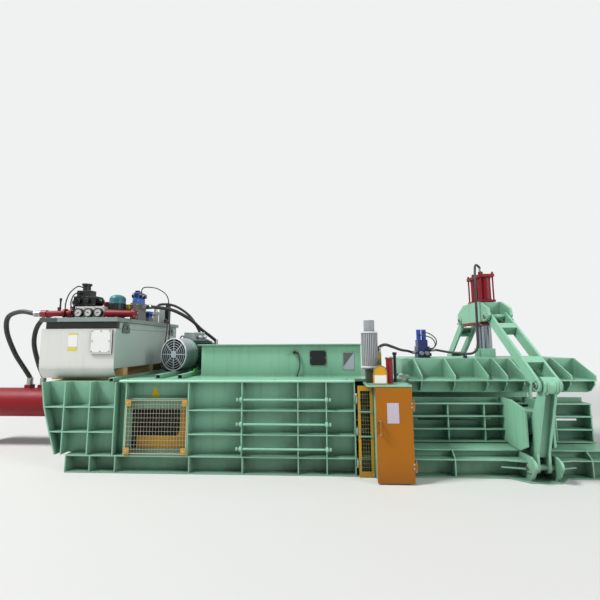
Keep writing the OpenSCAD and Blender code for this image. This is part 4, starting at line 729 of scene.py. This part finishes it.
bolted("manhole_bolts", "frame",
       on_circle((-2.92, 0.45, 1.765), 0.13, [i * math.tau / 12 for i in range(12)]),
       Z, 0.01, 0.008, 0.013)
bolted("lid_bolts", "frame", [(-3.35 + 0.128 * i, y, 1.745) for i in range(8) for y in (-0.895, 0.915)], Z,
       0.009, 0.006, 0.012)
welded("tank_welds", "frame", [[(-2.451, -0.73, 1.13), (-2.451, 0.92, 1.13)],
                               [(-2.451, -0.86, 1.611), (-2.451, 0.92, 1.611)]],
       0.004, lid_enamel)

# Gauge panel. White sprayed sheet with three oil filled gauges: black steel cases, a
# printed dial with marks and no numbers, a needle on its boss.
panel_enamel = enamel("white_gauge_panel_enamel", "EEEFEA", 0.35, 0.1, spray=0.01, patches=(
    ({"y": (-0.68, -0.6405)}, "26282A"),))
dress(panel_enamel, "gauge_panel")
# Stoved black: fine pitted and half glossy, so that the rim of a case shows as a line.
case_black, tree = new_material("black_stoved_steel_case")
spot = add(tree, "ShaderNodeTexCoord", {}).outputs["Object"]
fine = add(tree, "ShaderNodeTexNoise", {"Vector": spot, "Scale": 220.0, "Detail": 2.0})
pitted = add(tree, "ShaderNodeBump", {"Height": fine, "Strength": 0.2, "Distance": 0.0005})
worn_rim = add(tree, "ShaderNodeMapRange", {"Value": fine, "To Min": 0.28, "To Max": 0.42})
skin = add(tree, "ShaderNodeBsdfPrincipled", {"Base Color": linear("232527"), "Roughness": worn_rim,
                                              "Normal": pitted})
add(tree, "ShaderNodeOutputMaterial", {"Surface": skin})
GAUGE_Z = 1.829
cases, dials, needles = [], [], []
for number, x, lean in ((1, -3.095, 215), (2, -2.965, 160), (3, -2.835, 200)):
    cases.append(turned((x, -0.672, GAUGE_Z), FRONT, [(0, 0.0575), (0.008, 0.0575), (0.012, 0.0545),
                                                      (0.012, 0.0505), (0.004, 0.0485)], 40))
    dials.append(turned((x, -0.675, GAUGE_Z), FRONT, [(0, 0.0482), (0.0018, 0.0482)], 40))
    lean = math.radians(lean)
    needles.append(cut_plate([(-0.014, -0.004), (0.036, -0.001), (0.036, 0.001), (-0.014, 0.004)],
                             (x, -0.6785, GAUGE_Z), 0.0012, 0.0003,
                             across=(math.cos(lean), 0, math.sin(lean)),
                             up=(-math.sin(lean), 0, math.cos(lean))))
    needles.append(turned((x, -0.6768, GAUGE_Z), FRONT, [(0, 0.007), (0.003, 0.007), (0.0038, 0.005)], 18))
    ring_of_bars("dial_marks_%d" % number, (x, -0.6772, GAUGE_Z), 0.041, (0.0016, 0.008, 0.0006), 24,
                 case_black, (math.pi / 2, 0, 0), -0.75)
joined("gauge_cases", cases, case_black, "frame")
joined("gauge_dials", dials, white_enamel, "frame")
joined("gauge_needles", needles, case_black, "frame")
bolted("gauge_panel_screws", "frame", [(x, -0.64, z) for x in (-3.148, -3.03, -2.9, -2.782)
                                       for z in (1.757, 1.898)], FRONT, 0.0045, 0.003, 0.006)

# Main valve. A stack of black sprayed castings, nearly without colour and half glossy,
# with a hand knob, cap screws and coils.
black_enamel = enamel("black_valve_enamel", "141517", 0.34, 0.08, edge_highlight=0.16)
dress(black_enamel, "main_valve")
ring_of_bars("valve_knob_grip", (-3.25, -0.3, 2.2025), 0.0455, (0.006, 0.006, 0.07), 20, black_enamel)
ring_of_bars("valve_cap_grip", (-3.25, -0.3, 2.2525), 0.0615, (0.006, 0.005, 0.022), 30, black_enamel)
bolted("valve_cap_screws", "frame", [(x, -0.42, z) for x in (-3.365, -3.255, -3.145) for z in (1.775, 1.905)]
       + [(x, -0.39, z) for x in (-3.35, -3.08) for z in (1.955, 2.06)], FRONT, 0.011, 0.01, 0.014,
       black_enamel)
coil = [(0, 0.04), (0.004, 0.044), (0.02, 0.044), (0.024, 0.038), (0.024, 0.018), (0.036, 0.016),
        (0.038, 0.012)]
joined("valve_coils_and_plugs",
       [turned((-3.404, -0.3, 2.007), LEFT, coil, 24), turned((-3.026, -0.3, 2.007), X, coil, 24)]
       + [round_plate(0.05, 0.06, 0.006, (x, -0.39, 1.985), 0.034, 0.003) for x in (-3.31, -3.19)],
       black_enamel, "frame")

# Pilot oil motor. Teal enamel, with cooling fins cast round its dark lower half and a
# pressed cover; beside it a bright yellow valve and a red filler cap.
teal_enamel = enamel("teal_motor_enamel", "3C7F86", 0.34, 0.1, edge_highlight=0.2, patches=(
    ({"z": (1.74, 1.957)}, "1B3235"),))
dress(teal_enamel, "pilot_motor")
ring_of_bars("pilot_motor_fins", (-2.69, -0.48, 1.812), 0.088, (0.006, 0.014, 0.112), 26, teal_enamel)
ring_of_bars("pilot_motor_upper_fins", (-2.69, -0.48, 1.916), 0.099, (0.005, 0.016, 0.078), 26, teal_enamel)
joined("pilot_motor_bands", [turned((-2.69, -0.48, 1.957), Z, [(0, 0.09), (0, 0.1035), (0.008, 0.1035),
                                                               (0.01, 0.1)], 40),
                             turned((-2.69, -0.48, 2.012), Z, [(0, 0.1), (0.001, 0.1025), (0.006, 0.1025),
                                                               (0.007, 0.0995)], 40)],
       teal_enamel, "frame")
yellow_gloss = enamel("yellow_valve_enamel", "E2C31D", 0.3, 0.05, edge_highlight=0.15)
relief_valve = [(0, 0.036), (0.012, 0.036), (0.015, 0.046), (0.066, 0.046), (0.072, 0.036), (0.09, 0.034),
                (0.096, 0.024)]
joined("yellow_relief_valve", [turned((-2.54, -0.385, 1.915), LEFT, relief_valve, 24)],
       yellow_gloss, "frame")
filler = [(0, 0.05), (0.012, 0.05), (0.014, 0.028), (0.2, 0.028), (0.202, 0.036), (0.252, 0.036),
          (0.262, 0.028)]
joined("red_filler_cap", [turned((-2.95, -0.3, 1.745), Z, filler)], crimson_enamel, "frame")

# Blue solenoid valves on an oiled steel block. Moulded coils in a strong blue, black
# end caps and plugs, zinc hand screws; the block is grey brown and blotched with oil.
blue_enamel = enamel("blue_solenoid_enamel", "2A6FD6", 0.34, 0.06, edge_highlight=0.2, patches=(
    ({"x": (-2.56, -2.528)}, "17181A"), ({"x": (-2.442, -2.41)}, "17181A")))
dress(blue_enamel, "blue_valves")
block_metal = enamel("oiled_block_steel", "6F6C67", 0.32, 0.4, spray=0.1)
dress(block_metal, "valve_block")
bolted("solenoid_nuts", "frame", [(x, y, 2.08) for x in (-2.55, -2.415) for y in (-0.36, -0.26)]
       + [(-2.555, 0, 1.85), (-2.435, 0, 1.85)], [LEFT, LEFT, X, X, LEFT, X], 0.015, 0.012, 0.02)
bolted("block_screws", "frame", [(x, -0.42, z) for x in (-2.53, -2.45) for z in (1.77, 1.86, 1.955)]
       + [(x, -0.4, 2.0125) for x in (-2.52, -2.455)], FRONT, 0.008, 0.008, 0.01)
joined("solenoid_plugs", [round_plate(0.05, 0.05, 0.006, (-2.51, -0.385, 2.125), 0.026, 0.003, up=Y),
                          round_plate(0.05, 0.05, 0.006, (-2.52, -0.05, 1.83), 0.024, 0.003),
                          round_plate(0.044, 0.05, 0.006, (-2.507, -0.394, 2.06), 0.022, 0.003)],
       black_enamel, "frame")
# Grey fitting enamel: pale pumps and filters, one with a black cap and one red.
fitting_grey = enamel("grey_fitting_enamel", "A9AEAC", 0.36, 0.25, patches=(
    ({"x": (-2.502, -2.44), "y": (0.58, 0.68)}, "1A1B1D"), ({"x": (-3.65, -3.55)}, "8B2A36")))
dress(fitting_grey, "tank_fittings")


# Electric motor. Cast frame with fins, an end shield in mint, a pressed cowl with a
# rolled rim, and a terminal box with a pale lid and two glands. The frame's grey green
# is dull and soiled; the cowl's grey is cleaner and glossier, and its rims are bright.
motor_at = Matrix.Translation((-1.806, 0.045, 1.282)) @ Matrix.Rotation(math.radians(-20), 4, "Z")
motor_enamel = enamel("grey_green_motor_enamel", "54716C", 0.4, 0.3, edge_highlight=0.25, patches=(
    ({"z": (1.465, 1.7)}, "AEB4B6"),))
dress(motor_enamel, "motor_body")
cowl_enamel = enamel("pressed_cowl_enamel", "A7AFB5", 0.3, 0.2, coat=0.2)
dress(cowl_enamel, "motor_cowl")
rim_light = enamel("bright_rolled_rim", "DDE2E2", 0.25, 0.05, edge_highlight=0.1)


# A hoop's profile is closed on itself, so that the cowl's slots stay open inside it.
def hoop(foot, heading, profile, sides=64):
    verts, faces = turned(foot, heading, profile, sides)
    last = (len(profile) - 1) * sides
    closing = [(last + k, last + (k + 1) % sides, (k + 1) % sides, k) for k in range(sides)]
    return verts, faces[:-2] + closing


def on_motor(part):
    verts, faces = part
    return [motor_at @ Vector(v) for v in verts], faces


shield = [(0, 0.2), (0, 0.212), (0.06, 0.212), (0.066, 0.206)]
joined("motor_end_shield", [on_motor(turned((0, -0.178, 0), FRONT, shield, 64))], mint_enamel, "frame")
rolled_rim = [(0, 0.214), (0, 0.2185), (0.012, 0.2185), (0.018, 0.214), (0.018, 0.204), (0.012, 0.204)]
seam = [(0, 0.214), (0.002, 0.219), (0.01, 0.219), (0.012, 0.214)]
joined("motor_cowl_rim", [on_motor(hoop((0, -0.412, 0), FRONT, rolled_rim)),
                          on_motor(hoop((0, -0.243, 0), FRONT, seam))], rim_light, "frame")
lifting_boss = [(0, 0.016), (0.02, 0.016), (0.024, 0.026), (0.05, 0.026), (0.056, 0.018)]
gland = [(0, 0.026), (0.012, 0.026), (0.014, 0.021), (0.03, 0.021), (0.034, 0.014)]
box_lid = round_plate(0.2, 0.23, 0.012, (-0.1, -0.125, 0.288), 0.015, 0.003, up=Y)
joined("terminal_box_lid", [on_motor(box_lid), on_motor(turned((0, 0.16, 0.2), Z, lifting_boss, 20)),
                            on_motor(turned((0.142, -0.06, 0.235), X, gland, 12)),
                            on_motor(turned((0.142, 0.04, 0.235), X, gland, 12))],
       rim_light, "frame")
FOUR_ROUND = (0.8, 2.36, 3.93, 5.5)
bolted("terminal_lid_screws", "frame", [motor_at @ Vector((x, y, 0.303)) for x in (-0.085, 0.085)
                                        for y in (-0.11, 0.09)], Z, 0.007, 0.005, 0.009)
bolted("motor_foot_bolts", "frame", [motor_at @ Vector((x, y, -0.195)) for x in (-0.175, 0.175)
                                     for y in (-0.14, 0.12)], Z, 0.014, 0.012, 0.022)
bolted("end_shield_bolts", "frame",
       [motor_at @ Vector(p) for p in on_circle((0, -0.244, 0), 0.192, FOUR_ROUND, X, Z)],
       motor_at.to_3x3() @ Vector(FRONT), 0.009, 0.006, 0.011)
# Pump and rails: dark navy enamel with a soft gloss, and the machine's mint with one
# angle bracket in a fresher green.
navy_enamel = enamel("navy_pump_enamel", "1F2E58", 0.34, 0.15, edge_highlight=0.2)
dress(navy_enamel, "oil_pump")
FRESH_GREEN = "6BE08A"
rail_enamel = enamel("mint_rail_enamel", MINT, 0.4, 0.6, patches=(
    ({"x": (-1.6065, -1.59), "y": (-0.562, -0.438)}, FRESH_GREEN),
    ({"z": (1.063, 1.11), "x": (-1.7, -1.59), "y": (-0.562, -0.438)}, FRESH_GREEN)))
dress(rail_enamel, "motor_rails")

# Moulded nylon parts: the motor's fan and the ball grip of the hand valve. Black and
# matt, with the fine grain of the mould.
black_nylon, tree = new_material("moulded_black_nylon")
spot = add(tree, "ShaderNodeTexCoord", {}).outputs["Object"]
grain = add(tree, "ShaderNodeTexNoise", {"Vector": spot, "Scale": 400.0, "Detail": 2.0})
grain_bump = add(tree, "ShaderNodeBump", {"Height": grain, "Strength": 0.15, "Distance": 0.0005})
dusty = add(tree, "ShaderNodeMapRange", {"Value": grain, "To Min": 0.4, "To Max": 0.58})
skin = add(tree, "ShaderNodeBsdfPrincipled", {"Base Color": linear("1B1B1D"), "Roughness": dusty,
                                              "Normal": grain_bump})
add(tree, "ShaderNodeOutputMaterial", {"Surface": skin})
dress(black_nylon, "motor_fan", "hand_valve_lever")

# Bearers under the oil tank. Rough sawn softwood planks, warm in tone and quite dull,
# with the grain raised a little along the plank.
sawn_timber, tree = new_material("rough_sawn_softwood")
spot = add(tree, "ShaderNodeTexCoord", {}).outputs["Object"]
along = add(tree, "ShaderNodeMapping", {"Vector": spot, "Scale": (1.5, 30.0, 30.0)})
rings = add(tree, "ShaderNodeTexNoise", {"Vector": along, "Scale": 2.0, "Detail": 6.0})
tone = add(tree, "ShaderNodeMix", {"data_type": "RGBA", 0: rings, 6: linear("B08850"), 7: linear("EBC68C")})
saw = add(tree, "ShaderNodeBump", {"Height": rings, "Strength": 0.5, "Distance": 0.002})
skin = add(tree, "ShaderNodeBsdfPrincipled", {"Base Color": tone.outputs[2], "Roughness": 0.75,
                                              "Normal": saw})
add(tree, "ShaderNodeOutputMaterial", {"Surface": skin})
dress(sawn_timber, "tank_supports")

# Hopper plates and the deck's rounded edges. A small black plate in a frame held by
# rivets, and a mauve grey access plate with painted shade in a dark triangle at its upper
# left corner. The deck's edge is a paler mint than the rest, a painted highlight.
plate_enamel = enamel("hopper_plate_enamel", "202225", 0.34, 0.1, edge_highlight=0.1, patches=(
    ({"x": (0.28, 0.44)}, "B9B8C4"), ({"x": (-0.33, -0.28)}, MINT)))
dress(plate_enamel, "hopper_plates")
joined("black_plate_face", [round_plate(0.201, 0.177, 0.012, (-0.116, -0.617, 1.152), 0.003)],
       black_enamel, "frame")
bolted("plate_rivets", "frame", [(x, -0.62, z) for x in (-0.106, 0.075) for z in (1.162, 1.24, 1.319)]
       + [(x, -0.616, z) for x in (0.298, 0.422) for z in (1.104, 1.304)], FRONT, 0.004, 0.003, 0.0055)
# The dark triangle on the access plate is painted shade.
painted_shade_triangle = [(0.0, 0.03), (0.0, 0.2), (0.128, 0.2)]
joined("access_plate_painted_shade", [cut_plate(painted_shade_triangle, (0.296, -0.616, 1.104), 0.0012, 0.0004)],
       lug_enamel, "frame")
nosing = [(0, 0.0115), (0.003, 0.0145), (2.667, 0.0145), (2.67, 0.0115)]
# The paler mint of the nosings is a painted highlight along the deck's edge.
nosing_highlight_enamel = enamel("pale_deck_edge_painted_highlight", "A6DCC0", 0.36, 0.2, edge_highlight=0.4)
joined("deck_nosings", [turned((-2.28, way * 1.05, 1.0015), X, nosing, 14) for way in (-1, 1)],
       nosing_highlight_enamel, "frame")
sensor = [(0, 0.02), (0.004, 0.021), (0.006, 0.016), (0.03, 0.016), (0.034, 0.012)]
joined("level_sensor", [turned((-0.305, -0.638, 1.31), FRONT, sensor, 20)], black_enamel, "frame")

# Window guard. Welded wire mesh in a flat frame, screwed on at four yellow corner
# plates, with a yellow sheet behind it that closes the lower and the right part. The
# yellow is half matt and dusty; the wires' cream coat is cleaner.
signal_yellow = enamel("signal_yellow_powder_coat", "CF9A1E", 0.42, 0.35)
mesh_cream = enamel("cream_wire_coat", "C9BCA4", 0.4, 0.2, spray=0.02, edge_highlight=0.2)
mesh_tree, given = shape_tree("welded_wire_mesh", {
    "Lines": "Geometry", "Corner": "Vector", "Wires": "Int", "Wire Step": "Vector", "Wire Height": "Float",
    "Levels": "Int", "Level Step": "Vector", "Level Length": "Float", "Wire Radius": "Float",
    "Finish": "Material"}, "Mesh")
upright = add(mesh_tree, "GeometryNodeMeshCylinder", {"Vertices": 8, "Radius": given["Wire Radius"],
                                                      "Depth": given["Wire Height"]})
half_height = add(mesh_tree, "ShaderNodeMath", {"operation": "MULTIPLY", 0: given["Wire Height"], 1: 0.5})
raised = add(mesh_tree, "ShaderNodeCombineXYZ", {"Z": half_height})
stood = add(mesh_tree, "GeometryNodeTransform", {"Geometry": upright, "Translation": raised})
row = add(mesh_tree, "GeometryNodeMeshLine", {"Count": given["Wires"], "Start Location": given["Corner"],
                                              "Offset": given["Wire Step"]})
uprights = add(mesh_tree, "GeometryNodeInstanceOnPoints", {"Points": row, "Instance": stood})
level = add(mesh_tree, "GeometryNodeMeshCylinder", {"Vertices": 8, "Radius": given["Wire Radius"],
                                                    "Depth": given["Level Length"]})
half_length = add(mesh_tree, "ShaderNodeMath", {"operation": "MULTIPLY", 0: given["Level Length"], 1: 0.5})
in_front = add(mesh_tree, "ShaderNodeMath", {"operation": "MULTIPLY", 0: given["Wire Radius"], 1: -1.6})
shifted = add(mesh_tree, "ShaderNodeCombineXYZ", {"X": half_length, "Y": in_front})
lying = add(mesh_tree, "GeometryNodeTransform", {"Geometry": level, "Translation": shifted,
                                                 "Rotation": (0, math.pi / 2, 0)})
column = add(mesh_tree, "GeometryNodeMeshLine", {"Count": given["Levels"], "Start Location": given["Corner"],
                                                 "Offset": given["Level Step"]})
levels = add(mesh_tree, "GeometryNodeInstanceOnPoints", {"Points": column, "Instance": lying})
both = add(mesh_tree, "GeometryNodeJoinGeometry", {0: [uprights, levels]})
finished(mesh_tree, both, given["Finish"])
wires = grown("window_mesh", bpy.data.meshes.new("window_mesh"), mesh_tree,
              {"Corner": (-2.18, -1.052, 0.21), "Wires": 21, "Wire Step": (0.0345, 0, 0),
               "Wire Height": 0.582, "Levels": 13, "Level Step": (0, 0, 0.0485), "Level Length": 0.69,
               "Wire Radius": 0.0018, "Finish": mesh_cream}, "frame")
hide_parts("window_guard")
rim_bars = [cut_plate([(0, 0), (w, 0), (w, h), (0, h)], (-2.188 + u, -1.0495, 0.206 + v), 0.004)
            for u, v, w, h in ((0, 0, 0.706, 0.012), (0, 0.578, 0.706, 0.012), (0, 0.012, 0.012, 0.566),
                               (0.694, 0.012, 0.012, 0.566))]
joined("window_mesh_rim", rim_bars, mesh_cream, "frame")
joined("window_corner_plates", [round_plate(0.062, 0.072, 0.005, (x, -1.0575, z), 0.004)
                                for x in (-2.19, -1.543) for z in (0.204, 0.726)],
       signal_yellow, "frame")
bolted("window_guard_bolts", "frame", [(x, -1.0615, z) for x in (-2.159, -1.512) for z in (0.24, 0.762)],
       FRONT, 0.009, 0.007, 0.013)
joined("window_inner_sheet", [cut_plate([(-2.12, 0.205), (-1.456, 0.205), (-1.456, 0.7), (-1.612, 0.7),
                                         (-1.612, 0.43), (-1.64, 0.385), (-1.66, 0.372), (-2.12, 0.372)],
                                        (0, -0.909, 0), 0.006, 0.0001)],
       signal_yellow, "frame")
joined("bare_triangle_plate", [cut_plate([(-1.973, 0.787), (-1.837, 0.788), (-1.912, 0.943)], (0, -0.932, 0),
                                         0.0015, 0.0005)], yellow_gloss, "frame")

# Tying station. Amber door and yellow guards in powder coat, a little grainy and half
# matt; the bare plate on the door is a stuck on foil. The drives above are an upright
# motor in grey over an olive foot, a red one, a black post and a yellow riser.
amber_coat = enamel("amber_powder_coat", "A86500", 0.5, 0.1, spray=0.03, edge_highlight=0.2, coat=0.0)
dress(amber_coat, "cabinet_door")
joined("door_plate", [round_plate(0.122, 0.205, 0.005, (0.691, -1.268, 0.6), 0.0012, 0.0004)],
       label_film, "cabinet_door")
bolted("door_bolts", "cabinet_door", [(0.944, -1.268, z) for z in (0.16, 0.2, 0.76, 0.8)]
       + [(0.62, -1.268, z) for z in (0.49, 0.622)], FRONT, 0.007, 0.006, 0.01)
bolted("cabinet_roof_bolts", "frame", [(x, y, 0.985) for x in (0.52, 0.93) for y in (-1.24, -0.955)], Z,
       0.009, 0.008, 0.013)
guard_coat = enamel("yellow_guard_powder_coat", "D9A21B", 0.42, 0.3, patches=(
    ({"x": (0.4435, 0.5445), "z": (0.0615, 0.9005)}, "6E6224"), ({"y": (-1.0825, -1.0745)}, MINT)))
dress(guard_coat, "guard_door", "arch_guard")
bolted("guard_door_bolts", "guard_door", [(0.431, -1.074, z) for z in (0.14, 0.16, 0.47, 0.49, 0.8, 0.82)]
       + [(0.565, -1.074, z) for z in (0.03, 0.93)], FRONT, 0.006, 0.005, 0.009)
joined("arch_lower_plate", [round_plate(0.124, 0.086, 0.004, (0.577, -1.24, 0.998), 0.002, 0.0006)],
       white_enamel, "frame")
ARCH_MIDDLE, ARCH_RADIUS = (0.639, -1.24, 1.115), 0.068
arch_line = [(0.571, -1.24, 1.09), (0.571, -1.24, 1.115)]
arch_line += on_circle(ARCH_MIDDLE, ARCH_RADIUS, [a * math.pi / 16 for a in range(1, 16)], LEFT, Z)
arch_line += [(0.707, -1.24, 1.115), (0.707, -1.24, 1.09)]
bead_verts, bead_faces, _ = round_skin([Vector(p) for p in arch_line], [0.004] * len(arch_line), 10)
joined("arch_rim_bead", [(bead_verts, bead_faces)], block_metal, "frame")
MOTOR_X = (0.46, 0.6515)
drive_enamel = enamel("station_drive_enamel", "8C1527", 0.34, 0.2, edge_highlight=0.2, patches=(
    ({"x": MOTOR_X, "z": (1.134, 1.7)}, "9A9FA0"), ({"x": MOTOR_X, "z": (0.9, 1.134)}, "4B5240"),
    ({"x": (0.82, 0.9)}, "1A1B1D"), ({"x": (0.651, 0.7)}, "B9B04A")))
dress(drive_enamel, "station_drive")
ring_of_bars("station_motor_fins", (0.565, -1.015, 1.35), 0.087, (0.005, 0.01, 0.36), 28, rim_light)
motor_band = [(0, 0.085), (0.001, 0.095), (0.018, 0.095), (0.019, 0.085)]
joined("station_motor_bands", [turned((0.565, -1.015, z), Z, motor_band, 40) for z in (1.15, 1.53)],
       rim_light, "frame")
bolted("station_drive_bolts", "frame", on_circle((0.565, -1.015, 1.545), 0.075, FOUR_ROUND)
       + on_circle((0.76, -1.11, 1.26), 0.033, FOUR_ROUND), Z, 0.007, 0.006, 0.009)

# Platen valve. A small block in navy enamel on the platen's box, with two coils in a
# brighter blue on top, each fed by a lead, and two grey plugs in front.
platen_blue = enamel("navy_platen_valve_enamel", "22356B", 0.34, 0.15, edge_highlight=0.2, patches=(
    ({"z": (1.46, 1.8)}, "2450B0"), ({"y": (-0.2165, -0.161)}, "8A8D90")))
dress(platen_blue, "platen_valve")


# Floor and light. A plain pale floor that fades into a pale surround, a large soft lamp
# from the upper left and front, and a weak one from the outlet side. seen_in() is 1 for
# the rays that show the surround itself: from the lens, mirrored or sent through.
def seen_in(tree):
    ray = add(tree, "ShaderNodeLightPath", {})
    mirrored = add(tree, "ShaderNodeMath", {"operation": "MAXIMUM", 0: ray.outputs["Is Glossy Ray"],
                                            1: ray.outputs["Is Transmission Ray"]})
    return add(tree, "ShaderNodeMath", {"operation": "MAXIMUM", 0: ray.outputs["Is Camera Ray"], 1: mirrored})


SURROUND = linear("F0F2F2")
floor_tone, tree = new_material("plain_pale_floor")
spot = add(tree, "ShaderNodeTexCoord", {}).outputs["Object"]
away = add(tree, "ShaderNodeVectorMath", {"operation": "LENGTH", 0: spot}).outputs["Value"]
fade = add(tree, "ShaderNodeMapRange", {"Value": away, "From Min": 6.0, "From Max": 14.0})
share = add(tree, "ShaderNodeMath", {"operation": "MULTIPLY", 0: fade, 1: seen_in(tree)})
ground = add(tree, "ShaderNodeBsdfPrincipled", {"Base Color": linear("D9D9D5"), "Roughness": 0.85})
glow = add(tree, "ShaderNodeEmission", {"Color": SURROUND, "Strength": 1.0})
meet = add(tree, "ShaderNodeMixShader", {0: share, 1: ground, 2: glow})
add(tree, "ShaderNodeOutputMaterial", {"Surface": meet})
floor = mesh_piece("studio_floor", [(-90, -90, 0), (90, -90, 0), (90, 90, 0), (-90, 90, 0)],
                   [(0, 1, 2, 3)], floor_tone)

world = bpy.data.worlds.new("pale_surround")
bpy.context.scene.world = world
world.use_nodes = True
tree = world.node_tree
tree.nodes.clear()
shown = add(tree, "ShaderNodeBackground", {"Color": SURROUND, "Strength": 1.0})
lighting = add(tree, "ShaderNodeBackground", {"Color": linear("F2F6FF"), "Strength": 0.29})
both = add(tree, "ShaderNodeMixShader", {0: seen_in(tree), 1: lighting, 2: shown})
add(tree, "ShaderNodeOutputWorld", {"Surface": both})

for name, place, aim, size, power in (("upper_left_lamp", (-15.0, -7.0, 20.0), (0, 0, 0.8), 6.5, 6300),
                                      ("outlet_lamp", (11.0, -7.5, 5.5), (2, 0, 0.8), 5.0, 700)):
    lamp = bpy.data.lights.new(name, "AREA")
    lamp.shape = "DISK"
    lamp.size = size
    lamp.energy = power
    light = bpy.data.objects.new(name, lamp)
    bpy.context.collection.objects.link(light)
    way = Vector(aim) - Vector(place)
    light.matrix_world = Matrix.Translation(place) @ way.to_track_quat("-Z", "Y").to_matrix().to_4x4()

bpy.context.scene.view_settings.view_transform = "Standard"
